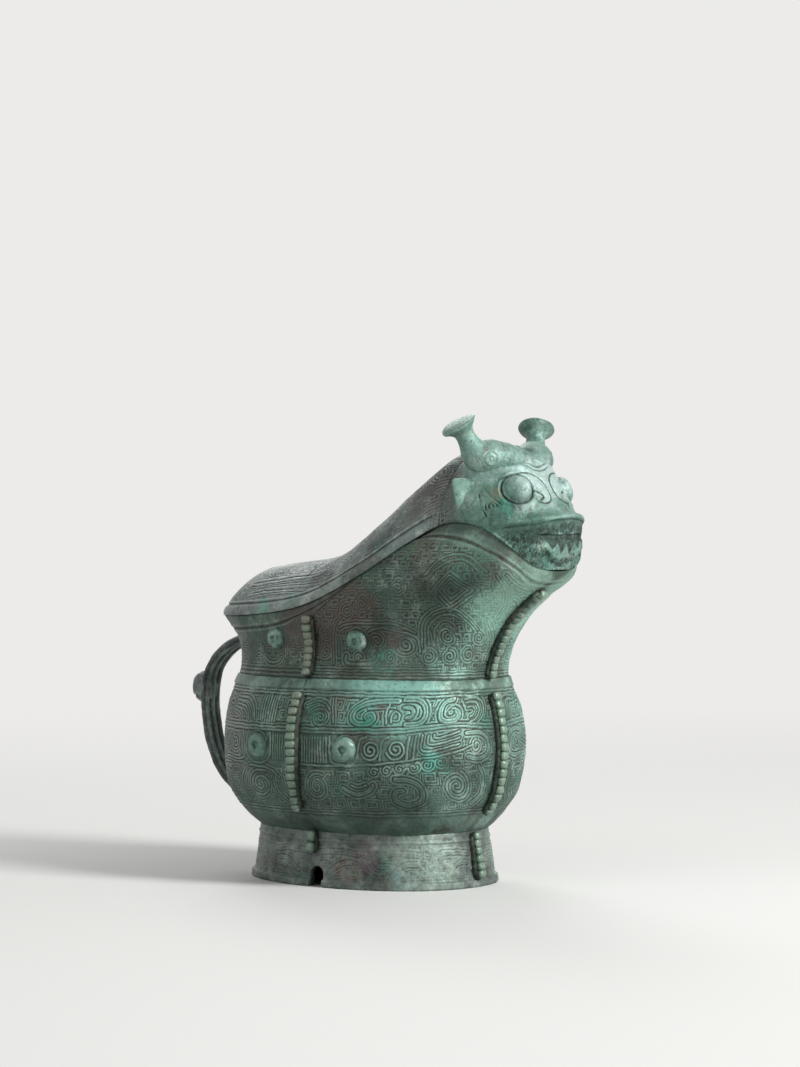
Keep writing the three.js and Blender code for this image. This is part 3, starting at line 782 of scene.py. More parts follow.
class Socket:
    """A shader value that takes part in Python sums."""

    def __init__(self, nodes: "NodeBook", output: bpy.types.NodeSocket | None) -> None:
        """Wrap an output of a node of one book."""
        self.nodes, self.output = nodes, output

    def beside(self, name: object) -> "Socket":
        """Another output of the same node, by name or number."""
        return Socket(self.nodes, self.output.node.outputs[name])

    def _math(self, operation: str, first: object, second: object = 0.0) -> "Socket":
        """One Math node on two values."""
        return self.nodes.make("ShaderNodeMath", {"operation": operation}, {0: first, 1: second})

    def __add__(self, other: object) -> "Socket":
        """The sum."""
        return self._math("ADD", self, other)

    __radd__ = __add__

    def __sub__(self, other: object) -> "Socket":
        """The difference."""
        return self._math("SUBTRACT", self, other)

    def __rsub__(self, other: object) -> "Socket":
        """The reflected difference."""
        return self._math("SUBTRACT", other, self)

    def __mul__(self, other: object) -> "Socket":
        """The product."""
        return self._math("MULTIPLY", self, other)

    __rmul__ = __mul__

    def __abs__(self) -> "Socket":
        """The size without its sign."""
        return self._math("ABSOLUTE", self)

    def step(self, low: float, high: float) -> "Socket":
        """A smooth step from 0 at low to 1 at high."""
        return self.nodes.make(
            "ShaderNodeMapRange", {"interpolation_type": "SMOOTHSTEP"},
            {"Value": self, "From Min": low, "From Max": high, "To Min": 0.0, "To Max": 1.0})


class NodeBook:
    """Makes and joins the nodes of one tree."""

    def __init__(self, tree: bpy.types.NodeTree) -> None:
        """Start with an empty tree."""
        self.tree = tree
        tree.nodes.clear()

    @classmethod
    def of(cls, owner: bpy.types.Material | bpy.types.World) -> "NodeBook":
        """The emptied tree of a material or a world."""
        owner.use_nodes = True
        return cls(owner.node_tree)

    def make(self, kind: str, settings: dict[str, object] | None = None,
             values: dict[object, object] | None = None, output: object = 0) -> Socket:
        """Add a node.

        Args:
            kind: its type.
            settings: attributes that are set first.
            values: numbers, colours or sockets for its inputs, by name or number.
            output: which output to return.

        Returns:
            The chosen output.
        """
        node = self.tree.nodes.new(kind)
        for key, value in (settings or {}).items():
            setattr(node, key, value)
        for key, value in (values or {}).items():
            if isinstance(value, Socket):
                self.tree.links.new(value.output, node.inputs[key])
            else:
                node.inputs[key].default_value = value
        return Socket(self, node.outputs[output] if node.outputs else None)

    def blend(self, share: object, first: object, second: object) -> Socket:
        """Mix two colours by a share."""
        return self.make("ShaderNodeMix", {"data_type": "RGBA"}, {0: share, 6: first, 7: second}, 2)

    def noise(self, place: Socket, scale: float, detail: float, seed: float) -> Socket:
        """Seeded noise over a place, about 0.5."""
        return self.make(
            "ShaderNodeTexNoise", {"noise_dimensions": "4D"},
            {"Vector": place, "W": seed, "Scale": scale, "Detail": detail, "Roughness": 0.6}, 0)

    def spots(self, broad: Socket, fine: Socket, share: float, low: float, high: float) -> Socket:
        """Spots where two noises together rise from low to high, share being the part of the first."""
        return (broad * share + fine * (1 - share)).step(low, high)

    def folded(self, place: Socket, sway: float, seed: float) -> Socket:
        """A place with its two sides laid together, shaken so that patches get ragged edges."""
        x = self.make("ShaderNodeSeparateXYZ", None, {0: place})
        parts = (x, abs(x.beside(1)), x.beside(2))
        return self.make("ShaderNodeCombineXYZ", None, {
            k: part + (self.noise(place, scale, 4, seed + k) - 0.5) * sway
            for k, (part, scale) in enumerate(zip(parts, (60, 75, 90)))})

    def cloud(self, place: Socket, middle: Place, size: float) -> Socket:
        """1 near a place, falling to 0 beyond a size, both in millimetres."""
        away = self.make("ShaderNodeVectorMath", {"operation": "DISTANCE"},
                         {0: place, 1: tuple(v * MM for v in middle)}, "Value")
        return 1 - away.step(size * 0.45 * MM, size * 1.15 * MM)


def colour(text: str) -> tuple[float, float, float, float]:
    """A linear colour from its written form, such as 5a8f7c."""
    parts = [int(text[i:i + 2], 16) / 255 for i in (0, 2, 4)]
    linear = [c / 12.92 if c <= 0.04045 else ((c + 0.055) / 1.055) ** 2.4 for c in parts]
    return (linear[0], linear[1], linear[2], 1.0)


@dataclass(frozen=True)
class Patch:
    """A cloud of another colour at one place of the vessel, on both sides alike; some clouds are painted
    light or painted shade.
    """

    place: Place
    size: float
    tint: str
    share: float


def clouds(*rows: tuple[Place, float, str, float]) -> tuple[Patch, ...]:
    """Patches from the place, size, colour and share of each."""
    return tuple(Patch(*row) for row in rows)


@dataclass(frozen=True)
class Patina:
    """The corroded skin of one region of the bronze."""

    name: str
    slot: str = "green_patina"
    deep: str = "1a1d18"
    body: str = "4d6c5f"
    second: str = "6e8c81"
    pale: str = "a5c2b4"
    earth: str = "574a43"
    bright: str = "3f8f79"
    dust: str = "b4b8a6"
    silt: str = "33261d"
    earth_share: float = 0.5
    bright_share: float = 0.5
    dust_share: float = 0.3
    hollow_share: float = 0.92
    pit_share: float = 0.5
    roughness: float = 0.52
    metallic: float = 0.28
    seed: float = 1.0
    grain: float = 0.0006
    patches: tuple[Patch, ...] = ()
    # pale clouds that are partly pale patina and partly painted light; under them the hollows are darkened
    # less
    lit_veils: tuple[Patch, ...] = ()

    def tones(self, book: NodeBook, place: Socket, where: Socket) -> Socket:
        """The skin's colours before its hollows are darkened.

        Args:
            book: the material's nodes.
            place: Object coordinates.
            where: the same, with the two sides laid together.

        Returns:
            The colour.
        """
        zones = book.noise(place, 26, 3, self.seed)
        blots = book.noise(place, 88, 5, self.seed + 1)
        specks = book.noise(place, 360, 4, self.seed + 2)
        tone = book.blend(book.spots(zones, blots, 0.55, 0.42, 0.58), colour(self.body), colour(self.second))
        tone = book.blend(book.spots(blots, specks, 0.6, 0.5, 0.61) * 0.72, tone, colour(self.pale))
        for scale, detail, seed, broad, low, high, share, tint in (
            (44, 5, 14, 0.7, 0.5, 0.61, 0.62, self.deep),
            (36, 5, 5, 0.65, 0.51, 0.62, self.earth_share, self.earth),
            (52, 6, 8, 0.75, 0.55, 0.66, self.bright_share, self.bright),
        ):
            spread = book.noise(place, scale, detail, self.seed + seed)
            tone = book.blend(book.spots(spread, specks, broad, low, high) * share, tone, colour(tint))
        for patch in (*self.patches, *self.lit_veils):
            share = book.cloud(where, patch.place, patch.size) * (0.45 + specks.step(0.3, 0.6) * 0.55)
            share = share * patch.share
            tone = book.blend(book.make("ShaderNodeClamp", None, {0: share}), tone, colour(patch.tint))
        return tone

    def material(self) -> bpy.types.Material:
        """Build the material's nodes.

        Returns:
            The finished material.
        """
        made = bpy.data.materials.new(self.name)
        book = NodeBook.of(made)
        place = book.make("ShaderNodeTexCoord", output="Object")
        relief = book.make("ShaderNodeAttribute", {"attribute_name": "relief"}, output="Fac")
        where = book.folded(place, 0.034, self.seed + 20)
        tone = self.tones(book, place, where)
        specks = book.noise(place, 420, 4, self.seed + 3)
        grit = book.noise(place, 1000, 4, self.seed + 4)
        chalk = book.noise(place, 64, 6, self.seed + 11)
        # Crests paler: worn tops and a painted highlight along the ridges.
        crest = relief.step(0.66, 0.95) * (0.15 + specks.step(0.4, 0.65) * 0.4)
        tone = book.blend(crest, tone, colour(self.pale))
        dusty = book.spots(chalk, grit, 0.55, 0.54, 0.65) * self.dust_share
        tone = book.blend(dusty, tone, colour(self.dust))
        hollow = 1 - relief.step(0.36, 0.6)
        silted = book.noise(place, 34, 4, self.seed + 17).step(0.46, 0.6)
        settled = book.blend(silted, colour(self.deep), colour(self.silt))
        depth = hollow * (self.hollow_share - specks.step(0.4, 0.65) * 0.4)
        # painted light: under the lit veils the hollows are darkened less
        for lit_veil in self.lit_veils:
            depth = depth * (1 - book.cloud(where, lit_veil.place, lit_veil.size) * 0.6)
        tone = book.blend(depth, tone, settled)
        tone = book.blend(book.spots(grit, specks, 0.7, 0.53, 0.64) * self.pit_share, tone, colour(self.deep))
        bumps = specks * 0.6 + grit * 0.4
        normal = book.make("ShaderNodeBump", None, {"Strength": 0.8, "Distance": self.grain, "Height": bumps})
        roughness = (specks - 0.5) * 0.4 + hollow * 0.2 - relief.step(0.55, 0.9) * 0.12 + self.roughness
        shader = book.make(
            "ShaderNodeBsdfPrincipled", None,
            {"Base Color": tone, "Roughness": roughness, "Metallic": self.metallic, "Normal": normal})
        book.make("ShaderNodeOutputMaterial", None, {"Surface": shader})
        return made


BELLY_PATCHES = clouds(
    # The pale mint clouds at (60, 48, 90), (40, 54, 99) and (82, 26, 82) are pale patina and painted light on
    # the belly's front.
    ((60, 48, 90), 24, "86bcae", 0.75), ((40, 54, 99), 24, "8ec4b8", 0.75),
    ((82, 26, 82), 20, "93bfb0", 0.6), ((36, 58, 84), 9, "2f8a70", 0.8), ((12, 61, 82), 10, "2f7c69", 0.6),
    ((48, 57, 91), 7, "6b5148", 0.7), ((80, 34, 70), 6, "7a5a4c", 0.7), ((24, 60, 92), 8, "6c5a50", 0.6),
    ((-52, 44, 74), 34, "868d88", 0.75), ((66, 40, 62), 7, "5fbfae", 0.6),
    # The three dark clouds low on the belly, at heights 38 to 42, are painted shadow.
    ((40, 46, 38), 30, "34443c", 0.6), ((0, 56, 42), 26, "38423c", 0.6), ((-40, 46, 40), 26, "3f4a44", 0.5))
NECK_PATCHES = clouds(
    ((0, 50, 128), 22, "5d4d4a", 0.8), ((24, 48, 138), 16, "665651", 0.65),
    ((44, 48, 120), 8, "6c4b4a", 0.6), ((44, 50, 110), 8, "4aa18c", 0.75),
    # The pale mint clouds at (92, 18, 122), (78, 32, 107) and (102, 14, 138) are pale patina and painted
    # light on the neck's front.
    ((84, 34, 160), 13, "5f9481", 0.5), ((92, 18, 122), 26, "9fcbb9", 0.85),
    ((78, 32, 107), 20, "a0cdc0", 0.75), ((102, 14, 138), 18, "a5bfae", 0.6),
    ((-68, 28, 112), 24, "848b86", 0.7), ((62, 42, 166), 10, "6a5e4e", 0.45))
# Pale clouds over the neck's front: pale patina and painted light, which also lighten the hollows under them.
NECK_LIT_VEILS = clouds(
    ((98, 14, 130), 28, "9ccab8", 0.85), ((80, 30, 108), 18, "95c4b2", 0.75),
    ((104, 16, 150), 15, "98bfa9", 0.65), ((64, 44, 116), 10, "7fb09d", 0.5))
LID_PATCHES = clouds(
    ((-32, 47, 135), 5, "6fb8a6", 0.6), ((-17, 50, 137), 5, "4f9080", 0.5),
    ((55, 30, 190), 15, "6b615e", 0.6), ((30, 34, 168), 12, "7d8580", 0.5),
    ((-62, 20, 152), 20, "9aa4a0", 0.6))
HEAD_PATCHES = clouds(
    ((71, 34, 191), 8, "86b8a4", 0.7), ((95, 28, 189), 5, "6f6a50", 0.6),
    # The pale cloud at (106, 7, 199) is pale patina and a painted highlight on the brow.
    ((100, 27, 183), 5, "35907a", 0.8), ((106, 7, 199), 16, "b9d0cb", 0.85),
    ((89, 26, 206), 2.2, "93604f", 0.7), ((86, 31, 183), 11, "3f6656", 0.8),
    # The dark green cloud at (108, 20, 168) is painted shade on the jaw under the lip's overhang.
    ((98, 29, 176), 9, "3d6354", 0.75), ((108, 20, 168), 17, "40695c", 0.85),
    ((77, 32, 224), 9, "7e9a88", 0.6), ((56, 10, 207), 25, "59625e", 1.2),
    ((56, 26, 198), 24, "59625e", 1.2), ((56, 32, 184), 24, "59625e", 1.2),
    ((56, 34, 172), 22, "59625e", 1.2), ((103, 24, 178), 7, "5d8677", 0.5))
FOOT_PATCHES = clouds(
    ((49, 38, 4), 5, "6fa9ad", 0.45), ((30, 45, 17), 8, "65505a", 0.5), ((22, 47, 12), 6, "66504f", 0.45),
    ((58, 30, 15), 22, "9db3a6", 0.7), ((42, 42, 12), 8, "4f8a78", 0.5), ((20, 46, 8), 9, "7f6f66", 0.5),
    ((-50, 30, 14), 24, "969c98", 0.6))
CREST_PATCHES = clouds(
    ((0, 52, 116), 22, "72695c", 0.6), ((80, 0, 80), 24, "7fa08c", 0.6), ((0, 62, 92), 14, "7a7568", 0.5),
    ((0, 62, 62), 20, "86a08f", 0.5))


class Finish(Enum):
    """The regions of the bronze, each with its patina."""

    GREEN = Patina("green_patina", patches=BELLY_PATCHES)
    NECK = Patina("neck_patina", body="435c50", second="5a7066", pale="88a094", earth="524441",
                  bright="3b7f6b", hollow_share=0.84, seed=7.0, patches=NECK_PATCHES, lit_veils=NECK_LIT_VEILS)
    GREY = Patina("grey_patina", "grey_patina", deep="222625", body="6f7d78", second="8b9894", pale="b6c1bc",
                  earth="655d57", bright="669f8f", dust="c4c8bd", earth_share=0.35, bright_share=0.25,
                  hollow_share=0.74, seed=3.0, patches=LID_PATCHES)
    PALE = Patina("pale_patina", "pale_patina", deep="17241f", silt="1c2820", body="5f877a", second="7d9f94",
                  pale="a9c3ba", earth="6f6f5c", bright="449a82", dust="cdd6c6", earth_share=0.25,
                  bright_share=0.45, dust_share=0.55, pit_share=0.7, grain=0.0011, seed=4.0,
                  patches=HEAD_PATCHES)
    LEAF = Patina("leaf_patina", "pale_patina", deep="1b2a24", silt="22302a", body="73a394", second="8db8a9",
                  pale="b6d6c9", earth="6f7a64", bright="4fa48c", dust="cad6c8", earth_share=0.25,
                  dust_share=0.45, grain=0.0011, seed=9.0)
    DOME = Patina("dome_patina", deep="1f2a24", body="648a7c", second="7c9e92", pale="aec6ba",
                  bright="459279", dust="c3ccbb", earth_share=0.3, dust_share=0.4, seed=8.0)
    EARTHY = Patina("earthy_patina", "earthy_patina", deep="242826", body="596660", second="6f7b75",
                    pale="98a39d", earth="5d4d47", bright="4b9080", dust="a5a492", bright_share=0.35,
                    hollow_share=0.75, seed=5.0, patches=FOOT_PATCHES)
    CREST = Patina("crest_patina", deep="1b211c", body="4d6a5b", second="68806f", pale="9db1a0",
                   earth="565046", bright="478a75", dust="a5a892", earth_share=0.35, bright_share=0.45,
                   seed=6.0, patches=CREST_PATCHES)


@cache
def finish_of(finish: Finish) -> bpy.types.Material:
    """The one material of a finish, made when it is first asked for."""
    return finish.value.material()


def dress(piece: bpy.types.Object, finish: Finish, body: str, nodes: Sequence[str]) -> bpy.types.Object:
    """Give a piece its finish, the body it moves with and the nodes it stands for.

    Args:
        piece: the finished object.
        finish: its patina.
        body: the CAD body.
        nodes: the CAD nodes it replaces.

    Returns:
        The same piece.
    """
    piece.data.materials.clear()
    piece.data.materials.append(finish_of(finish))
    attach(piece, body)
    if nodes:
        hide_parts(*nodes)
    log.info("%s: %d faces", piece.name, len(piece.data.polygons))
    return piece


# The vessel's wall


def belly_sheet() -> Ornament:
    """An empty sheet for a quarter of the belly, with its level lines and its ground."""
    s = Ornament((-2, 34), (116, 96))
    s.levels((95.3, 93.9, 38.4, 36.9), -2, 116)
    s.thunder((0.4, 39.6), (112, 58.8), 7.6, 6.4, 12)
    s.thunder((0.4, 81.0), (112, 93.2), 6.0, 6.1, 11)
    return s


def belly_front_sheet() -> Ornament:
    """Ornament of a front quarter of the belly: a coiled dragon over the great mask's eye and brow."""
    s = belly_sheet()
    s.thunder((62, 60), (112, 78), 6.0, 4.6, 13)
    # plain bar between the two bands
    s.blank((-2, 75.4), (60, 79.2))
    s.limb([(-2, 77.0), (26, 77.2), (56, 78.0), (71, 79.4), (86, 80.4), (100, 79.4), (112, 78.4)], 2.6, 0.42)
    # dragon coiled by the flange
    s.limb(scroll((14.4, 83.0), 6.6, 1.9, -1, 165, 0.72), 0.7, 0.42)
    for arc in ([(5, 88.8), (11, 91.0), (16, 90.0), (19.4, 87.2)],
                [(19.6, 92.4), (21.4, 86.0), (22.4, 80.6)]):
        s.limb(arc, 0.7, 0.4)
    # great hooked limb and its companions
    s.limb([(53, 91.8), (41, 91.2), (35.4, 89.4), (32.4, 86.4), (32.6, 82.8), (36, 80.8), (41, 81.2),
            (43.2, 83.6), (41.6, 85.6), (39.2, 84.6), (40.4, 83.2)], 2.5, 0.46)
    s.limb([(52.4, 88.6), (44, 88.2), (39.4, 88.2)], 0.7, 0.4)
    s.limb([(49.4, 81), (48.8, 86.6), (49.4, 90)], 0.7, 0.4)
    s.limb([(51.6, 81.4), (51.4, 84.8), (53, 87), (55.2, 85.4), (55, 82.8), (52.8, 82.4)], 0.8, 0.42)
    s.limb([(56, 92.4), (62.8, 92), (66.6, 89), (67.6, 84.8), (65.2, 81.6), (58.8, 80.8)], 2.3, 0.46)
    s.limb([(56.6, 88.8), (60.4, 88.4), (61.8, 86.6), (61, 84.6), (58.6, 84.2)], 1.5, 0.42)
    # deep coil
    s.limb([(80, 92.2), (76.4, 91.2), (74.8, 87.4), (75.4, 83.6), (79, 82), (83.4, 82.6), (84.8, 85.4),
            (82, 87.6), (80, 86)], 2.2, 0.6)
    s.cut(scroll((80.4, 86.4), 2.2, 1.1, 1, 200), 1.2, 0.5)
    turns = [math.radians(a) for a in range(-30, 190, 20)]
    for wide, tall in ((9.4, 6.6), (6.4, 4.6), (3.4, 2.4)):
        s.limb([(91 + wide * math.sin(a), 86.4 + tall * math.cos(a)) for a in turns], 0.8, 0.4)
    # mask on this side of the flange: comb, framed eye, three brow scrolls and long hooks
    s.blank((3, 60.4), (64, 75.2))
    s.comb((4.6, 62.2), (19.6, 73.6), 1.6)
    s.thread([(21.0, 74.6), (21.0, 65.4), (23.4, 61.4), (33.4, 61.4), (36.2, 65.4)])
    s.thread(scroll((BELLY_EYE_FRONT, BELLY_EYE_Z), 7.2, 0.98, 1, 60), False)
    s.thread([(35.6, 64.6), (37.0, 72.8), (40.2, 74.6)])
    s.thread([(46.8, 63.6), (48.2, 72.8), (51.0, 74.6)])
    for middle in ((42.4, 68.4), (54.6, 69.0)):
        s.limb(scroll(middle, 4.7, 2.2, 1, 200, 1.06), 0.66, 0.5)
    for foot, top in (((59.6, 64.4), (61.0, 75.0)), ((62.8, 64.6), (64.4, 75.2))):
        s.thread([foot, top], False)
    s.thread([(4, 60.6), (16, 60.4), (30, 60.6), (45, 61.8), (57, 63.4), (71, 65.2), (84, 67.4), (94, 70.6)])
    s.limb([(67.4, 75.8), (67.0, 68.6), (75, 68.9), (86, 71.4)], 0.8, 0.5)
    s.limb([(70.2, 75.6), (70.2, 71.6), (77, 71.9), (86, 74.4)], 0.8, 0.5)
    s.limb([(73, 75.8), (73.4, 74.4), (78, 74.8), (86, 77.2)], 0.8, 0.5)
    s.limb([(90, 76.2), (98.6, 76.2), (104, 72.4), (104.2, 66.6), (98.8, 63.8), (91, 64.6)], 1.8, 0.42)
    s.limb(scroll((96.4, 70.2), 3.2, 1.4, 1, 90), 0.7, 0.4)
    # small curls under the mask, its moustache and lower jaw
    for x, z in ((44, 58.2), (50, 58.8), (56.4, 59.6), (63, 60.4), (69.6, 61.6), (76, 62.8)):
        s.limb(scroll((x, z), 2.1, 1.3, 1 if x < 60 else -1, 30), 0.6, 0.4)
    s.limb([(27.6, 50), (31.8, 47.8), (36.4, 47.4), (40.4, 49), (43, 51.6)], 1.7, 0.52)
    s.limb([(31.8, 51.6), (35.4, 50.4), (39.6, 51.8)], 0.8, 0.4)
    s.limb(scroll((13, 50), 6.6, 2.0, 1, 60), 1.0, 0.4)
    s.limb([(54, 54.6), (61, 54), (66, 50), (65, 44.4), (58.4, 42), (53, 44.4), (53.4, 48.6), (57, 49.2)],
           2.0, 0.42)
    s.limb(scroll((84, 51), 7.6, 2.0, -1, 70), 1.2, 0.4)
    s.limb([(98, 60), (101, 54), (98, 46), (91, 41.6)], 1.6, 0.4)
    return s


def belly_rear_sheet() -> Ornament:
    """Ornament of a rear quarter of the belly."""
    s = belly_sheet()
    s.thunder((40, 59), (112, 75), 6.2, 5.3, 22)
    s.blank((-2, 75.0), (116, 79.0))
    s.limb([(-2, 77.0), (40, 77.0), (80, 77.4), (116, 77.6)], 2.6, 0.46)
    s.blank((12.8, 80), (25, 93))
    s.comb((13.8, 80.4), (25.0, 92.4), 1.7)
    s.limb([(47, 91), (36.4, 90.4), (30.4, 86.8), (28.2, 80.6)], 1.0, 0.46)
    s.limb([(46, 87.4), (38, 86.6), (33.8, 83.4), (33.2, 80.4)], 0.8, 0.42)
    s.limb([(48, 84.4), (41.6, 83.2), (39.6, 80.6)], 0.8, 0.42)
    s.limb(scroll((54.6, 85.4), 4.8, 1.9, -1, 160), 0.9, 0.44)
    s.limb([(63, 92), (61.6, 86.4), (63, 81.6), (68.6, 81), (72.4, 84), (71, 88), (67, 88.6)], 2.0, 0.46)
    s.limb([(78, 81), (86, 81), (90, 84.6), (88, 90), (81, 91.6)], 1.7, 0.44)
    s.limb(scroll((99, 86), 5.0, 1.8, 1, 90), 1.0, 0.4)
    # mask
    s.blank((3, 60), (40, 75))
    s.comb((4.6, 62.2), (14.6, 73.6), 1.6)
    s.thread([(16.4, 74.6), (16.2, 66), (18.6, 61.0), (25.2, 59.6), (32.0, 61.6), (34.8, 67.4), (32.4, 74.6)])
    s.thread(scroll((EYE_REAR, BELLY_EYE_Z), 7.2, 0.98, 1, 60), False)
    s.limb([(37, 74.4), (37, 61.6), (56, 61.4)], 0.8, 0.44)
    s.limb(scroll((44.6, 68.6), 4.4, 2.1, 1, 90), 0.66, 0.46)
    s.limb(scroll((55.6, 68.6), 4.2, 2.1, -1, 90), 0.66, 0.46)
    s.limb([(62, 74), (62, 67.6), (80, 68), (98, 69.6)], 0.8, 0.44)
    s.limb([(65, 74), (65.4, 71), (82, 71.2), (98, 72.6)], 0.8, 0.44)
    # brow, jaw scroll and hooks of the mask
    s.limb([(32, 58.2), (22.4, 58), (14.6, 56.4), (10, 53)], 0.9, 0.5)
    s.limb(scroll((24.0, 49.4), 9.6, 2.0, -1, 118, 0.74), 1.2, 0.5)
    s.limb([(13, 54), (12.2, 48.2), (9.8, 44.2), (5, 41.4)], 1.0, 0.46)
    s.limb([(8.6, 52.6), (7, 47.4), (3.4, 44)], 0.8, 0.42)
    s.limb([(36, 57), (39.8, 51.2), (38.6, 45), (35, 40.8)], 1.4, 0.46)
    s.limb([(52, 56.4), (62, 56), (68, 50.4), (65, 43.6), (56, 41.6), (51.4, 45.4), (54.4, 49.8)], 1.9, 0.44)
    s.limb(scroll((86, 51), 7.4, 2.0, 1, 120), 1.2, 0.42)
    return s


def neck_front_sheet() -> Ornament:
    """Ornament of a front quarter of the neck: the side mask's coils, and nested lozenges under the spout."""
    s = Ornament((-2, 100), (150, 182))
    s.levels((102.6, 104.0, 105.4, 106.8), -2, 68)
    s.levels((102.6, 104.0), 68, 140)
    for seed, (low, high, wide, tall) in enumerate((
        ((0.4, 108), (62, 136), 5.8, 4.6), ((8, 136), (68, 178), 6.0, 4.8), ((94, 105), (146, 178), 6.0, 4.6),
        ((62, 105.4), (96, 120), 5.6, 4.6), ((62, 120), (96, 178), 5.4, 4.8)), 31):
        s.thunder(low, high, wide, tall, seed)
    s.thread(scroll((NECK_EYE_FRONT, NECK_EYE_Z), 6.6, 0.98, 1, 60), False)
    s.limb([(13.8, 108.6), (12.8, 119), (15.2, 127), (19.4, 132)], 0.7, 0.42)
    s.limb([(16.4, 112.6), (16.2, 121)], 0.7, 0.4)
    s.limb([(17.8, 126.2), (22.8, 128), (33, 128.4), (43.6, 128.4), (51, 127.2), (57.4, 124.2)], 0.8, 0.46)
    s.limb([(33, 124), (37, 125.8), (42, 126), (48, 125), (54, 123.8), (58, 120.6), (58.4, 114.4)], 0.8, 0.46)
    s.limb(scroll((37.4, 120.2), 3.9, 2.0, -1, 150), 0.64, 0.46)
    s.limb(scroll((51.6, 118.2), 4.8, 2.3, 1, 200), 0.66, 0.5)
    s.limb([(20.4, 112.4), (20.4, 110), (23, 108.8), (29.4, 108.6), (34.6, 109.2), (37.6, 111.2),
            (37.8, 113.8), (35.4, 115), (34, 113.2)], 1.5, 0.48)
    s.limb(scroll((27.2, 111.9), 1.9, 1.3, 1, 0), 0.6, 0.42)
    for x, z, r, hand in ((23, 134, 3.2, 1), (31.8, 137.6, 3.2, -1), (44, 111.8, 2.9, 1),
                          (62.4, 112.6, 3.0, -1), (72.4, 122, 2.9, 1), (72.6, 112.8, 3.2, -1),
                          (82.6, 113.2, 3.3, 1), (88.6, 121.4, 3.0, -1), (41.6, 140, 3.0, 1),
                          (52, 146, 3.2, -1), (8.4, 114, 2.8, 1), (8.4, 123, 2.8, -1)):
        s.limb(scroll((x, z), r, 1.8, hand, 90), 0.62, 0.42)
    # bird with its long loops round the lozenges
    s.limb([(59.6, 117), (60.4, 124.4), (63, 130.4), (68.4, 134.6), (74.6, 136.4), (80, 135), (83, 131.8)],
           0.7, 0.42)
    s.thread([(62.8, 118.4), (63.6, 124.4), (66.4, 129.4), (71.2, 132.4), (76.8, 133.2), (80.4, 130.6)])
    s.thread([(65.8, 121), (66.9, 125.4), (70, 129), (74.2, 130), (77, 127.6)])
    s.limb([(83, 132), (86, 128.4), (88.4, 125.6)], 0.7, 0.4)
    s.nest([(68.8, 143.8), (79.4, 154), (92, 144.8), (76, 134.6), (68.8, 143.8)], (79.4, 144.8), 5)
    s.thread([(66.4, 151.6), (71.6, 158), (77.6, 161.2), (84.2, 161.6), (91, 158.8), (97, 153.4)])
    s.thread([(68.8, 151), (74, 156.2), (79.4, 158.8), (84.6, 159.2), (89.8, 156.8), (94, 152.8)])
    s.limb([(94.6, 130), (97.6, 124), (98.4, 116), (95.4, 110.6)], 1.6, 0.42)
    s.limb([(101.6, 152), (105, 145), (104.8, 137.6), (100.4, 131)], 0.9, 0.42)
    s.limb([(106.4, 152), (112, 146.4), (119, 144.4)], 0.8, 0.4)
    s.limb(scroll((110, 134.6), 5.4, 1.9, -1, 90), 1.0, 0.42)
    s.limb(scroll((107, 114), 4.6, 1.9, 1, 90), 1.0, 0.42)
    s.limb([(114, 126), (120, 131), (122, 139)], 0.9, 0.4)
    return s


def neck_rear_sheet() -> Ornament:
    """Ornament of a rear quarter of the neck: hatched strokes and a mask's eye, plain towards the flare."""
    s = Ornament((-2, 100), (150, 182))
    s.levels((102.6, 104.6), -2, 140)
    s.thunder((0.4, 106.4), (140, 121), 5.8, 4.8, 41)
    s.thread(scroll((EYE_REAR, NECK_EYE_Z), 6.6, 0.98, 1, 60), False)
    s.limb([(16.4, 112), (16.4, 121), (20, 127)], 0.7, 0.4)
    s.limb([(33, 124), (40, 123.4), (46, 120), (47, 114), (43, 109)], 0.9, 0.42)
    s.limb(scroll((38.6, 115), 3.8, 2.0, -1, 150), 0.64, 0.42)
    s.limb([(52, 120.4), (58, 118), (59.4, 112), (56, 108)], 1.3, 0.42)
    s.limb(scroll((68, 113.6), 4.8, 2.0, 1, 100), 0.8, 0.42)
    s.limb([(20.4, 111), (22.6, 108.6), (29, 108.2), (33, 110.4)], 1.0, 0.42)
    s.limb([(80, 120), (86, 117.6), (87.4, 112), (83, 108)], 1.3, 0.42)
    return s


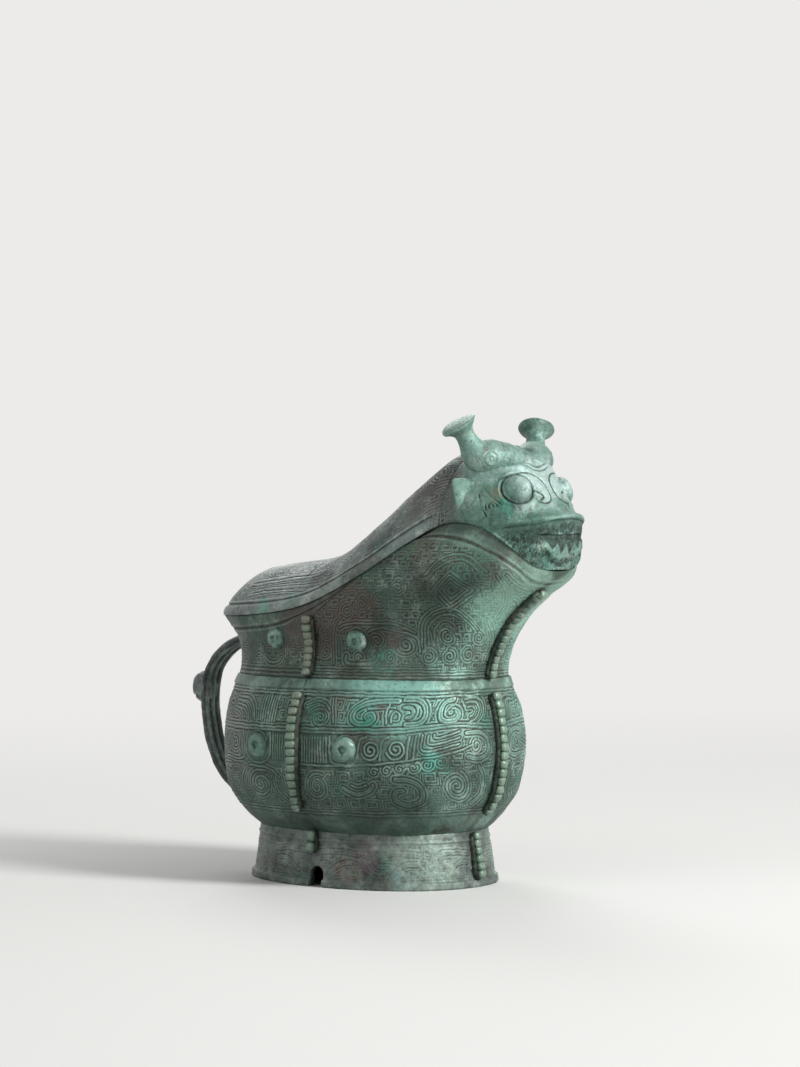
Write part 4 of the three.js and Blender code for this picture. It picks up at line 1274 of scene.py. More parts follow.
@dataclass
class VesselWall:
    """The vessel's open wall: four quarters of the belly, four of the neck, and the floor."""

    belly_low: float = 26.0
    belly_high: float = 101.4
    band_low: float = 96.5
    band_high: float = 100.8
    band_out: float = 0.85
    rim_line: float = 6.2
    rear_plain: float = 119.5
    arc: float = 108.0
    back_rows: int = 12

    def grid(self, end: End, low: Array, high: Array, rows: int, inset: float) -> Array:
        """Points of one quarter between two heights.

        Args:
            end: the quarter's end of the vessel.
            low: lowest height, one for each column.
            high: highest height, one for each column.
            rows: how many rows of cells.
            inset: how far inside the surface.

        Returns:
            A grid of points from the side to the end.
        """
        turn = even_turns(end, len(low) - 1)[:, None]
        share = np.linspace(0, 1, rows + 1)[None]
        return ring(turn, low[:, None] * (1 - share) + high[:, None] * share, inset)

    def wear(self, run: Array, z: Array, seed: int) -> Array:
        """How much of the ornament's height is left at each place."""
        worn = 0.86 + rough(run, z, (0.34, 19, seed), (0.16, 6, seed + 1))
        lost = smooth(lumps(run, z, 12, seed + 7), 0.45, 0.8) * 0.55
        return np.clip(worn - lost, 0.18, 1.1)

    def rim_lines(self, under: Array) -> Array:
        """The groove under the rim and the beads on both its sides, from depths below the rim."""
        return (0.3 * bump(under - self.rim_line - 1.3, 0.45) - 0.36 * bump(under - self.rim_line, 0.5)
                + 0.2 * bump(under - self.rim_line + 1.3, 0.45))

    def panel(self, name: str, end: End, side: Side, low: Array, high: Array, sheet: Ornament,
              neck: bool) -> bpy.types.Object:
        """Build one quarter of the wall.

        Args:
            name: the piece's name.
            end: its end of the vessel.
            side: its side.
            low: its lowest heights.
            high: its highest heights.
            sheet: its ornament.
            neck: whether it reaches the rim.

        Returns:
            The new object.
        """
        rows = rows_over(float((high - low).max()), GRAIN, self.back_rows)
        base = self.grid(end, low, high, rows, 0.0)
        inner = self.grid(end, low, high, self.back_rows, WALL)
        z = base[..., 2]
        run = side_run(base)
        seed = 100 + (3 if neck else 0) + (1 if end is End.FRONT else 0) + (10 if side is Side.LEFT else 0)
        carved, spare = sheet.sample(*waver(run, z, seed + 30))
        if neck:
            under = high[:, None] - z
            kept = smooth(under, self.rim_line + 1.6, self.rim_line + 2.6)
            if end is End.REAR:
                kept = kept * (1 - smooth(z, self.rear_plain - 2.5, self.rear_plain))
            lines = self.rim_lines(under)
            carved, spare = carved * kept + lines, spare * kept + lines
        worn = self.wear(run, z, seed) * (0.84 if neck else 1 - 0.24 * (1 - smooth(z, 50, 62)))
        low_edge, high_edge = self.band_low, self.band_high
        in_band = smooth(z, low_edge - 0.4, low_edge) - smooth(z, high_edge, high_edge + 0.5)
        uneven = rough(run, z, (0.18, 11, seed + 5), (0.08, 3.4, seed + 6), (0.045, 1.3, seed + 7))
        height = carved * worn + self.band_out * in_band + uneven
        height[[0, -1]] *= 0.3  # panels meet where the flanges hide them
        away = base * (1, 1, 0) - np.stack([MIDDLE(z), 0 * z, 0 * z], -1)
        outer = base + facing_out(normals_of(base), away) * height[..., None]
        tone = np.clip(0.52 + spare * worn * 1.5, 0, 1)
        beyond = smooth(np.abs(z - (low_edge + high_edge) / 2), 2.0, 2.8)
        tone = tone * beyond + 0.62 * (1 - beyond)
        mirror = np.array([1, side.value, 1])
        return slab(outer * mirror, inner * mirror, tone).build(name)

    def floor(self) -> bpy.types.Object:
        """The dish that closes the vessel's underside, inside the foot."""
        turn = np.linspace(0, 2 * math.pi, 96, endpoint=False)
        folded = np.where(turn > math.pi, 2 * math.pi - turn, turn)
        hand = np.where(turn > math.pi, -1.0, 1.0)[:, None] * (0, 1, 0) + (1, 0, 1)
        thick = WALL * 0.9
        faces = []
        for lift in (0.0, thick):
            rings = [ring(folded, np.full(turn.shape, z + lift), lift) * hand
                     for z in np.linspace(LOWEST, self.belly_low, 6)]
            rings = [rings[0] * (k, k, 1) for k in (0.35, 0.7)] + rings
            faces.append(tube(np.stack(rings)[::-1 if lift else 1]))
        under, over = faces
        count, around = len(under.points), len(turn)
        seam = band(np.stack([np.arange(count - around, count), np.arange(count, count + around)], -1))
        quads = np.concatenate([under.quads, over.quads + count, seam])
        caps = [under.wide_faces[0], [i + count for i in over.wide_faces[1]]]
        points = np.concatenate([under.points, over.points])
        made = Skin(points, quads, caps, np.full(2 * count, 0.4)).build("vessel_floor")
        outwards(made)
        return made

    def make(self) -> None:
        """Build and dress every piece of the wall."""
        count = int(self.arc / GRAIN)
        sheets = {
            (End.FRONT, False): belly_front_sheet(), (End.REAR, False): belly_rear_sheet(),
            (End.FRONT, True): neck_front_sheet(), (End.REAR, True): neck_rear_sheet(),
        }
        for side in Side:
            for end in End:
                where = f"{side.name.lower()}_{end.name.lower()}"
                low, seam = (np.full(count + 1, z) for z in (self.belly_low, self.belly_high))
                belly = self.panel(f"belly_{where}", end, side, low, seam, sheets[end, False], False)
                dress(belly, Finish.GREEN, "vessel", ["vessel_wall"])
                top = rim_height_at(even_turns(end, count))
                neck = self.panel(f"neck_{where}", end, side, seam, top, sheets[end, True], True)
                dress(neck, Finish.NECK, "vessel", ["vessel_wall"])
        dress(self.floor(), Finish.EARTHY, "vessel", ["vessel_wall"])


def outwards(piece: bpy.types.Object) -> None:
    """Turn a closed mesh's faces to point out."""
    book = bmesh.new()
    book.from_mesh(piece.data)
    bmesh.ops.recalc_face_normals(book, faces=book.faces)
    book.to_mesh(piece.data)
    book.free()


# Foot, flanges and bosses


@dataclass
class FootRing:
    """The oval foot with its lip, its ridge and the small arched notch."""

    height: float = 27.0
    long_top: float = 60.5
    half_top: float = 45.5
    long_base: float = 64.5
    half_base: float = 48.5
    power: float = 2.2
    wall: float = 3.4
    notch_x: float = 2.5
    notch_wide: float = 8.0
    notch_tall: float = 10.0
    mean_radius: float = 55.0
    lip_out: float = 1.4
    ridge_out: float = 0.55

    def points(self, turn: Array, z: Array, inset: float) -> Array:
        """Points round the foot.

        Args:
            turn: angles from the front, in radians.
            z: heights.
            inset: how far inside the surface.

        Returns:
            A grid of points, turn along the first axis.
        """
        share = z / self.height
        long = self.long_base + (self.long_top - self.long_base) * share - inset
        half = self.half_base + (self.half_top - self.half_base) * share - inset
        c, s = np.cos(turn), np.sin(turn)
        x = np.sign(c) * np.abs(c) ** (2 / self.power) * long
        y = np.sign(s) * np.abs(s) ** (2 / self.power) * half
        return np.stack(np.broadcast_arrays(x, y, z), -1)

    def sheet(self) -> Ornament:
        """Ornament of half the foot: three long-limbed beasts over thunder pattern."""
        s = Ornament((-2, -2), (110, 30))
        s.thunder((1, 5.5), (104, 20.5), 6.6, 5.0, 51)
        for x in (19, 55, 90):
            s.limb([(x - 14, 16.6), (x - 4, 17.6), (x + 7, 17.0), (x + 12, 14.4), (x + 9.4, 11.4),
                    (x + 3, 11.6)], 2.2, 0.42)
            s.limb([(x - 13, 12.4), (x - 6, 12.2), (x - 1, 9.6), (x + 2, 7.2)], 1.8, 0.4)
            s.limb([(x + 6, 7.6), (x + 12, 8.2), (x + 15.6, 11.6)], 1.4, 0.36)
        return s

    def make(self) -> None:
        """Build and dress the foot."""
        around, rows = ((760, 60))
        turn = np.linspace(0, 2 * math.pi, around, endpoint=False)[:, None]
        top = self.height - 0.4
        base = self.points(turn, np.linspace(0, top, rows + 1)[None], 0)
        inner = self.points(turn, np.linspace(0, top, 7)[None], self.wall)
        z = base[..., 2]
        run = np.abs(np.degrees(np.arcsin(np.clip(np.sin(turn), -1, 1)))) / 90 * 100 + 0 * z
        arc = turn * self.mean_radius + 0 * z
        carved, spare = self.sheet().sample(*waver(run, z, 57))
        worn = np.clip(0.46 + 0.5 * lumps(arc, z, 10, 52), 0.05, 0.9)
        ridge = self.ridge_out * (smooth(z, 21.8, 22.4) - smooth(z, 22.9, 23.5))
        edges = self.lip_out * (1 - smooth(z, 3.0, 4.2)) + ridge
        pitted = rough(arc, z, (0.12, 2.6, 54), (0.08, 1.3, 55))
        height = carved * worn + edges + 0.22 * lumps(arc, z, 8, 53) + pitted
        join = bump(np.minimum(turn, 2 * math.pi - turn), 0.03)  # the pattern's ends meet at the front flange
        height = (height * (1 - join) + edges * join) * smooth(z, -0.6, 0.5) ** 0.5
        normal = normals_of(np.concatenate([base[-1:], base, base[:1]]))[1:-1]
        outer = base + facing_out(normal, base * (1, 1, 0)) * height[..., None]
        outer[:, 0, 2] = 0
        shade = np.clip(0.55 + spare * worn * 1.2 + pitted * 0.8 + ridge * 0.3, 0, 1)
        foot = slab(outer, inner, shade, looped=True).build("foot_ring_skin")
        self.cut_notch(foot)
        dress(foot, Finish.EARTHY, "vessel", ["foot_ring"])

    def cut_notch(self, foot: bpy.types.Object) -> None:
        """Cut the arched notch out of the foot's lower edge on its right side.

        Args:
            foot: the whole foot.
        """
        half = self.notch_wide / 2
        outline = [(self.notch_x + half * math.cos(a), self.notch_tall - half + half * math.sin(a))
                   for a in np.linspace(0, math.pi, 25)]
        outline += [(self.notch_x - half, -2), (self.notch_x + half, -2)]
        grid = np.array([[(x, y, z) for x, z in outline] for y in (-60, -35)], float)
        cutter = tube(grid).build("notch_cutter")
        cut = foot.modifiers.new("notch", "BOOLEAN")
        cut.operation, cut.object, cut.solver = "DIFFERENCE", cutter, "EXACT"
        settle(foot)
        bpy.data.objects.remove(cutter)


def settle(piece: bpy.types.Object) -> None:
    """Turn a piece's modifiers into plain mesh and remove them."""
    graph = bpy.context.evaluated_depsgraph_get()
    plain = bpy.data.meshes.new_from_object(piece.evaluated_get(graph))
    piece.modifiers.clear()
    piece.data = plain
    plain.polygons.foreach_set("use_smooth", np.ones(len(plain.polygons), bool))


class FlangeTree:
    """The node tree that sets rounded teeth along a flange's line, over a lower web."""

    def __init__(self) -> None:
        """Build the tree once, with named inputs for its sizes."""
        self.tree = bpy.data.node_groups.new("scored_flange", "GeometryNodeTree")
        self.ids: dict[str, str] = {}
        for name, kind in (("Geometry", "Geometry"), ("Pitch", "Float"), ("Tooth Size", "Vector"),
                           ("Tooth Lift", "Vector"), ("Web Thickness", "Float"), ("Web Depth", "Float"),
                           ("Material", "Material")):
            item = self.tree.interface.new_socket(name, in_out="INPUT", socket_type=f"NodeSocket{kind}")
            self.ids[name] = item.identifier
        self.tree.interface.new_socket("Geometry", in_out="OUTPUT", socket_type="NodeSocketGeometry")
        self.wire()

    def wire(self) -> None:
        """Join the nodes: line to curve, teeth on its points, web along it."""
        make = NodeBook(self.tree).make
        given = make("NodeGroupInput")
        curve = make("GeometryNodeMeshToCurve", None, {0: given.beside("Geometry")})
        points = make("GeometryNodeResampleCurve", {"mode": "LENGTH"},
                      {"Curve": curve, "Length": given.beside("Pitch")})
        lean = make("FunctionNodeAlignRotationToVector", {"axis": "Z", "pivot_axis": "Y"},
                    {"Vector": make("GeometryNodeInputTangent")})
        cube = make("GeometryNodeMeshCube", None, {"Size": given.beside("Tooth Size")})
        tooth = make("GeometryNodeSubdivisionSurface", None, {"Mesh": cube, "Level": 2, "Edge Crease": 0.3})
        teeth = make("GeometryNodeInstanceOnPoints", None,
                     {"Points": points, "Instance": tooth, "Rotation": lean})
        lifted = make("GeometryNodeTranslateInstances", None,
                      {"Instances": teeth, "Translation": given.beside("Tooth Lift"), "Local Space": True})
        outline = make("GeometryNodeCurvePrimitiveQuadrilateral", None,
                       {"Width": given.beside("Web Depth"), "Height": given.beside("Web Thickness")})
        web = make("GeometryNodeCurveToMesh", None,
                   {"Curve": curve, "Profile Curve": outline, "Fill Caps": True})
        both = make("GeometryNodeJoinGeometry", None, {0: lifted})
        self.tree.links.new(web.output, both.output.node.inputs[0])
        plain = make("GeometryNodeRealizeInstances", None, {0: both})
        done = make("GeometryNodeSetMaterial", None,
                    {"Geometry": plain, "Material": given.beside("Material")})
        make("NodeGroupOutput", None, {0: done})


@dataclass
class Flange:
    """One scored flange, which follows the wall from one height to another."""

    node: str
    wall: Callable[[Array], Array]
    low: float
    high: float
    turn: float
    tall: float = 4.8
    thick: float = 4.4
    pitch: float = 3.9
    # shares of its height and thickness: where its line stands, then its teeth and the web between them
    seat: float = 0.22
    tooth_tall: float = 1.06
    tooth_thick: float = 1.16
    tooth_lift: float = 0.29
    web_tall: float = 1.16
    web_thick: float = 0.78

    def make(self, tree: FlangeTree) -> None:
        """Build the flange with its node tree and dress it.

        Args:
            tree: the shared node tree.
        """
        span = np.linspace(self.low + self.pitch / 2, self.high - self.pitch / 2, 40)
        line = np.stack([self.wall(span) + self.tall * self.seat, span * 0, span], -1) * MM
        length = float(run_along(line)[-1])
        mesh = bpy.data.meshes.new(self.node)
        mesh.from_pydata([tuple(p) for p in line], [(i, i + 1) for i in range(len(line) - 1)], [])
        made = stand(f"{self.node}_teeth", mesh)
        count = max(1, round(length / (self.pitch * MM)))
        pitch = length / count * 0.999
        modifier = made.modifiers.new("teeth", "NODES")
        modifier.node_group = tree.tree
        for name, value in {
            "Pitch": pitch,
            "Tooth Size": (self.tall * self.tooth_tall * MM, self.thick * self.tooth_thick * MM, pitch * 1.1),
            "Tooth Lift": (self.tall * self.tooth_lift * MM, 0.0, 0.0),
            "Web Thickness": self.thick * self.web_thick * MM,
            "Web Depth": self.tall * self.web_tall * MM,
            "Material": finish_of(Finish.CREST),
        }.items():
            modifier[tree.ids[name]] = value
        settle(made)
        self.finish_mesh(made.data)
        dress(made, Finish.CREST, "vessel", [self.node])

    def finish_mesh(self, mesh: bpy.types.Mesh) -> None:
        """Roughen the teeth, turn the flange to its place and give it its relief.

        Args:
            mesh: the plain flange, which stands at the front.
        """
        x, y, z = read_points(mesh).T / MM
        uneven = lumps(z + self.turn, x + y * 0.7, 2.2, 61)
        tooth = lumps(z + self.turn * 3, 0 * z, 4.1, 62)
        share = (x - self.wall(z)) / self.tall
        y = y * (1 + 0.1 * uneven + 0.1 * tooth)
        x = x + np.clip(share, 0, 1) * (0.42 * tooth + 0.16 * uneven - 0.3)
        c, s = math.cos(math.radians(self.turn)), math.sin(math.radians(self.turn))
        write_points(mesh, np.stack([x * c - y * s, x * s + y * c, z], -1) * MM)
        # Darker towards the wall: painted shade at the flange's root and between its teeth; lighter at the
        # crest.
        write_relief(mesh, np.clip(0.05 + np.maximum(share, 0) ** 2.3 * 0.8, 0, 1))
        mesh.update()


def make_flanges() -> None:
    """Build every flange of the vessel."""
    foot = FootRing()
    foot_front = Profile([(0, foot.long_base), (foot.height, foot.long_top)])
    foot_side = Profile([(0, foot.half_base), (foot.height, foot.half_top)])
    tree = FlangeTree()
    runs = [
        Flange("front_flange_neck", FRONT, 101.9, 146, 0), Flange("front_flange_belly", FRONT, 36, 94.1, 0),
        Flange("front_flange_foot", foot_front, 4.1, 26.4, 0),
        Flange("rear_flange_foot", foot_front, 4.1, 26.4, 180),
    ]
    for side in Side:
        name, turn = side.name.lower(), 90 * side.value
        runs.append(Flange(f"{name}_flange_neck", HALF, 101.9, 132, turn))
        runs.append(Flange(f"{name}_flange_belly", HALF, 38, 94.1, turn))
        runs.append(Flange(f"{name}_flange_foot", foot_side, 17 if side is Side.RIGHT else 4.1, 26.4, turn))
    for run in runs:
        run.make(tree)


@dataclass
class EyeBoss:
    """A round eye of the masks, with a pit in its middle."""

    node: str
    x: float
    z: float
    side: Side
    radius: float
    tall: float

    def make(self) -> None:
        """Build and dress the boss."""
        step = 1.0
        slope_x = float(half_width(self.x + step, self.z) - half_width(self.x - step, self.z)) / (2 * step)
        slope_z = float(half_width(self.x, self.z + step) - half_width(self.x, self.z - step)) / (2 * step)
        facing = (-slope_x, self.side.value, -slope_z)
        r, t = self.radius, self.tall
        profile = [(0, -2.5), (r * 0.96, -2.5), (r * 0.99, -0.8), (r, 0.4), (r * 0.95, t * 0.46),
                   (r * 0.82, t * 0.78), (r * 0.6, t * 0.97), (r * 0.42, t), (r * 0.32, t * 0.9),
                   (r * 0.24, t * 0.55), (r * 0.15, t * 0.4), (0, t * 0.36)]
        at = (self.x, float(half_width(self.x, self.z)) * self.side.value, self.z)

        def dents(local: Array) -> Array:
            """Uneven casting over the dome."""
            return 0.16 * lumps(local[..., 0] * 3, local[..., 1] * 3 + local[..., 2] * 2, 5, 71 + int(self.z))

        skin = lathe(smooth_profile(profile, 44), 56, facing, at, dents)
        dress(skin.build(f"{self.node}_dome"), Finish.DOME, "vessel", [self.node])


def make_bosses() -> None:
    """Build the eight mask eyes."""
    for side in Side:
        for part, front, z, radius, tall in (("belly", BELLY_EYE_FRONT, BELLY_EYE_Z, 6.0, 3.2),
                                             ("neck", NECK_EYE_FRONT, NECK_EYE_Z, 5.2, 3.0)):
            for end, x in (("front", front), ("rear", -EYE_REAR)):
                EyeBoss(f"{side.name.lower()}_{part}_eye_{end}", x, z, side, radius, tall).make()


# Handle


@dataclass
class Handle:
    """The strap handle with the animal's muzzle that stands out of it."""

    width: float = 13.0
    thick: float = 4.2
    length: float = 150.0
    muzzle_x: float = -110.6
    muzzle_z: float = 91.0
    muzzle_stretch: float = 1.15
    rearmost: float = -119.9

    LINE = [(-69, 117), (-82, 117.5), (-96, 112), (-106, 102), (-109.5, 88), (-108.5, 73), (-104, 58),
            (-96, 46), (-84, 38), (-66.5, 35)]

    def path(self, count: int) -> Array:
        """Points along the strap's middle line."""
        table = np.array(self.LINE, float)
        run = run_along(table)
        x, z = resample(table, run, np.linspace(0, run[-1], count))
        return np.stack([x, 0 * x, z], -1)

    def strap(self) -> bpy.types.Object:
        """The strap, with two grooves along each face."""
        wide, thick = self.width / 2, self.thick / 2
        across = np.linspace(-1, 1, 41)
        wave = np.cos(across * 3 * math.pi)
        back = np.stack([across * wide, (0.92 + 0.27 * wave - 0.25 * across**4) * thick], -1)
        under = np.stack([across * wide * 0.98, -thick * (0.9 + 0.24 * wave - 0.28 * across**4)], -1)
        steps = 240
        grid = sweep(self.path(steps), np.concatenate([back, under[::-1]]))
        run = np.linspace(0, self.length, steps)[:, None]
        worn = lumps(run + 0 * grid[..., 1], grid[..., 1] * 2, 5, 81)
        grid = grid + (0.14 * worn + 0.07 * lumps(run + 0 * worn, grid[..., 1], 1.8, 83))[..., None]
        skin = tube(grid)
        tone = np.concatenate([0.5 + 0.22 * wave, 0.5 + 0.2 * wave[::-1]]) + 0 * run
        skin.relief = np.clip(tone + worn * 0.08, 0, 1).ravel()
        return skin.build("handle_strap_skin")

    def muzzle(self) -> bpy.types.Object:
        """The muzzle: a snout between two ears, facing out."""
        profile = [(0, -3.2), (4.5, -3.2), (6.6, -1.5), (7.2, 1.5), (6.9, 4.2), (5.6, 6.6), (3.4, 8.2),
                   (1.4, 8.75), (0, 8.8)]

        def dents(local: Array) -> Array:
            """Eyes, nostrils and brow of the muzzle."""
            x, y, h = local[..., 0], local[..., 1], local[..., 2]
            shape = np.zeros(x.shape)
            for hand in (-1, 1):
                from_eye = (x - 3.4 * hand) ** 2 + (y + 2.6) ** 2
                shape += 1.3 * np.exp(-(from_eye + 0.3 * (h - 4) ** 2) / 1.8)
                shape -= 0.7 * np.exp(-from_eye / 0.3)
                shape -= 1.0 * np.exp(-((x - 1.5 * hand) ** 2 + (y - 2.2) ** 2) / 0.5) * (h > 5)
                shape -= 0.6 * np.exp(-((x - 1.6 * hand + 0.3 * hand * (y + 5)) ** 2) / 0.3) * (y < -3.5)
            shape -= 0.7 * np.exp(-((y - 4.4) ** 2) / 0.3) * (h > 1.5)
            return shape + 0.15 * lumps(x * 3, y * 3, 5, 82)

        at = (self.muzzle_x, 0, self.muzzle_z)
        skin = lathe(smooth_profile(profile, 44), 64, (-1, 0, 0.08), at, dents)
        skin.points[:, 2] = self.muzzle_z + (skin.points[:, 2] - self.muzzle_z) * self.muzzle_stretch
        skin.points[:, 0] = np.maximum(skin.points[:, 0], self.rearmost)
        return skin.build("handle_muzzle_skin")

    def make(self) -> None:
        """Build and dress the handle."""
        dress(self.strap(), Finish.GREY, "vessel", ["handle_strap"])
        dress(self.muzzle(), Finish.GREY, "vessel", ["handle_muzzle"])


# Lid and head


UP = np.array((0.0, 0.0, 1.0))


def lid_half(x: Array) -> Array:
    """Half the lid's width at places along it."""
    inside = np.maximum(x, -83.4)
    return np.maximum(half_width(inside, RIM(inside)) + 1.2, 2.0)


def arch(ridge: Array, foot: Array, half: Array, share: Array, power: Array, fullness: Array) -> Array:
    """Points of arches from a ridge down to the rim.

    Args:
        ridge: (x, z) of each ridge point, one row for each arch.
        foot: (x, z) of the rim point below it.
        half: half width at the rim.
        share: places across each arch, -1 to 1.
        power: how square its shoulders are.
        fullness: how fast it falls to the rim.

    Returns:
        A grid of points, share along the first axis.
    """
    rise = (1 - np.abs(share)[:, None] ** power[None]) ** fullness[None]
    x = foot[None, :, 0] + (ridge - foot)[None, :, 0] * rise
    z = foot[None, :, 1] + (ridge - foot)[None, :, 1] * rise
    return np.stack([x, share[:, None] * half[None], z], -1)


@dataclass
class Lid:
    """The arched lid behind the head, in four carved panels, with the lip under it."""

    rear_x: float = -85.2
    neck_x: float = 66.0
    split_x: float = -12.0
    power: float = 2.2
    fullness: float = 0.72
    lift: float = 0.3
    tongue_deep: float = 5.0
    tongue_rear: float = -75.0
    tongue_front: float = 60.8
    tongue_thick: float = 2.2
    tongue_clear: float = 1.0
    tongue_rise: float = 3.0
    border: float = 6.4
    border_fades: tuple[float, float] = (56.0, 65.5)
    arc: float = 68.0
    grain: float = GRAIN * 1.1
    back_rows: int = 10

    RISE = Profile([(-85.2, 1), (-82.2, 6), (-77.2, 11), (-71.2, 17), (-64.2, 22), (-55, 25.2), (-25, 26.2),
                    (-9, 26.3), (5, 27.5), (16.5, 30.5), (30, 34), (41, 36.5), (53, 38), (60, 38), (66, 35)])

    def grid(self, x: Array, share: Array, inset: float) -> Array:
        """Points of the lid's top.

        Args:
            x: places along it.
            share: places across it, 0 at the ridge to 1 at the rim.
            inset: how far inside the surface.

        Returns:
            A grid of points.
        """
        rim = RIM(x) + self.lift
        ridge = np.stack([x, rim + np.maximum(self.RISE(x) - self.lift - inset, 0.6)], -1)
        half = np.maximum(lid_half(x) - inset, 1.0)
        ones = np.ones(len(x))
        return arch(ridge, np.stack([x, rim], -1), half, share, ones * self.power, ones * self.fullness)

    def sheet(self) -> Ornament:
        """Ornament of half the lid: a rear mask and two long-bodied dragons, over thunder pattern."""
        s = Ornament((-2, -2), (200, 76))
        s.thunder((3, 4.0), (196, 66), 6.6, 5.0, 91)
        s.limb([(6, 0.6), (60, 0.6), (120, 0.6), (196, 0.6)], 3.2, 0.3)
        # rear mask: brow, eye, horn and jaw
        s.limb([(7, 8), (14, 13), (24, 14), (32, 10), (38, 5)], 3.4, 0.34)
        s.limb(scroll((21, 23), 5.6, 2.0, 1, 0), 1.0, 0.36)
        s.limb([(10, 24), (11, 32), (18, 38), (28, 38), (36, 33), (38, 25), (34, 19)], 3.2, 0.34)
        s.limb([(8, 38), (16, 45), (27, 45)], 1.4, 0.32)
        # dragon's long body above the border
        s.limb([(42, 33), (52, 35.4), (68, 36.4), (80, 38), (94, 41.4)], 5.6, 0.34)
        s.cut([(44, 34), (56, 36), (72, 37.2), (88, 40)], 0.9, 0.34)
        s.limb([(46, 43), (60, 44.4), (76, 46.6), (100, 53), (118, 57)], 3.8, 0.34)
        s.cut([(50, 43.4), (64, 45.2), (80, 47.8)], 0.9, 0.34)
        s.limb([(101, 36.8), (108, 40), (115, 44.6), (119, 48.6), (117, 51), (110, 50.2), (102, 47.4)],
               1.6, 0.36)
        s.limb([(40, 12), (52, 10), (66, 10), (80, 12), (92, 17), (98, 24), (95, 30), (88, 30.4), (85, 26)],
               4.8, 0.34)
        s.cut([(44, 11.6), (56, 10), (70, 10.4), (84, 13.4)], 0.9, 0.34)
        s.limb([(46, 20), (60, 18.6), (74, 20.4), (80, 24)], 3.0, 0.32)
        s.limb(scroll((54, 26.6), 4.6, 1.9, -1, 90), 0.8, 0.34)
        # second dragon up the neck: two parallel bands with scales between them
        s.limb([(122, 48.6), (134, 50), (146, 48.2), (156, 43.4), (166, 36.4), (176, 30.4), (188, 25)],
               2.8, 0.36)
        s.limb([(122, 58.4), (134, 59.2), (148, 57.4), (160, 51.4), (172, 44), (188, 35)], 2.8, 0.36)
        s.limb([(106, 9), (122, 11.6), (140, 12.4), (158, 11.6), (176, 9.8), (192, 8)], 5.0, 0.34)
        s.cut([(110, 9.8), (126, 12), (144, 12.4), (162, 11.2), (180, 9.2)], 0.9, 0.34)
        s.limb([(104, 20), (118, 22.4), (136, 23.6), (154, 22), (172, 18), (190, 15)], 2.6, 0.34)
        for x, y, hand in ((112, 31, 1), (128, 36, -1), (143, 35, 1), (157, 30, -1), (170, 25, 1)):
            s.limb(scroll((x, y), 4.6, 1.9, hand, 90), 0.8, 0.34)
        return s

    def make(self) -> None:
        """Build and dress the lid's panels and lip."""
        sheet = self.sheet()
        for side in Side:
            for end in End:
                name = f"lid_{side.name.lower()}_{end.name.lower()}"
                dress(self.panel(name, side, end, sheet), Finish.GREY, "lid", ["lid_shell"])
        dress(self.tongue(), Finish.GREY, "lid", ["lid_shell"])

    def panel(self, name: str, side: Side, end: End, sheet: Ornament) -> bpy.types.Object:
        """Build one panel of the lid.

        Args:
            name: the piece's name.
            side: its side of the ridge.
            end: its end of the lid.
            sheet: the ornament of half the lid.

        Returns:
            The new object.
        """
        full = np.linspace(0, 1, 2001) ** 1.35 * (self.neck_x - self.rear_x) + self.rear_x
        run_full = run_along(np.stack([full, RIM(full) + self.RISE(full)], -1))
        cut = float(np.interp(self.split_x, full, run_full))
        start, stop = (0.0, cut) if end is End.REAR else (cut, float(run_full[-1]))
        rows = rows_over(stop - start, self.grain, self.back_rows)
        run = np.linspace(start, stop, rows + 1)
        x = np.interp(run, run_full, full)
        share = np.sin(np.linspace(0, math.pi / 2, int(self.arc / self.grain) + 1))
        base = self.grid(x, share, 0.0)
        inner = self.grid(np.clip(x[:: rows // self.back_rows], self.rear_x + WALL, self.neck_x), share, WALL)
        inner[..., 2] = np.maximum(inner[..., 2], RIM(inner[..., 0]) + self.lift)
        across = run_along(base)
        along = run[None] + 0 * across
        from_rim = (np.maximum(across[-1:] - across, 0.01) ** -4 + np.maximum(along, 0.01) ** -4) ** -0.25
        framed = 1 - smooth(x, *self.border_fades)
        kept = 1 - (1 - smooth(from_rim, self.border + 1.0, self.border + 2.0)) * framed
        carved, spare = (v * kept for v in sheet.sample(*waver(along, across, 320 + side.value)))
        groove, bead = (bump(from_rim - self.border - beyond, 0.42) for beyond in (0.0, 1.2))
        swell = smooth(from_rim, 0.0, 2.2) * (1 - smooth(from_rim, 4.0, self.border - 0.4))
        seed = 300 + side.value + 5 * end.value
        wear = np.clip(0.62 + rough(along, across, (0.42, 14, seed), (0.14, 5, seed + 6)), 0.06, 1.0)
        lines, swell = (0.3 * bead - 0.45 * groove) * framed, swell * framed
        uneven = rough(along, across, (0.16, 9, seed + 1), (0.07, 3, seed + 2), (0.035, 1.3, seed + 3))
        height = (carved * wear + lines + 0.5 * swell + uneven) * smooth(along, 0.0, 3.0)
        outer = base + facing_out(normals_of(base), UP) * height[..., None]
        outer[-1, :, 2] = np.maximum(outer[-1, :, 2], base[-1, :, 2])
        outer[0, :, 1] = 0
        mirror = np.array([1, side.value, 1])
        tone = np.clip(0.54 + (spare * (wear + 0.15) + lines) * 1.5 + swell * 0.06, 0, 1)
        return slab(outer * mirror, inner * mirror, tone).build(name)

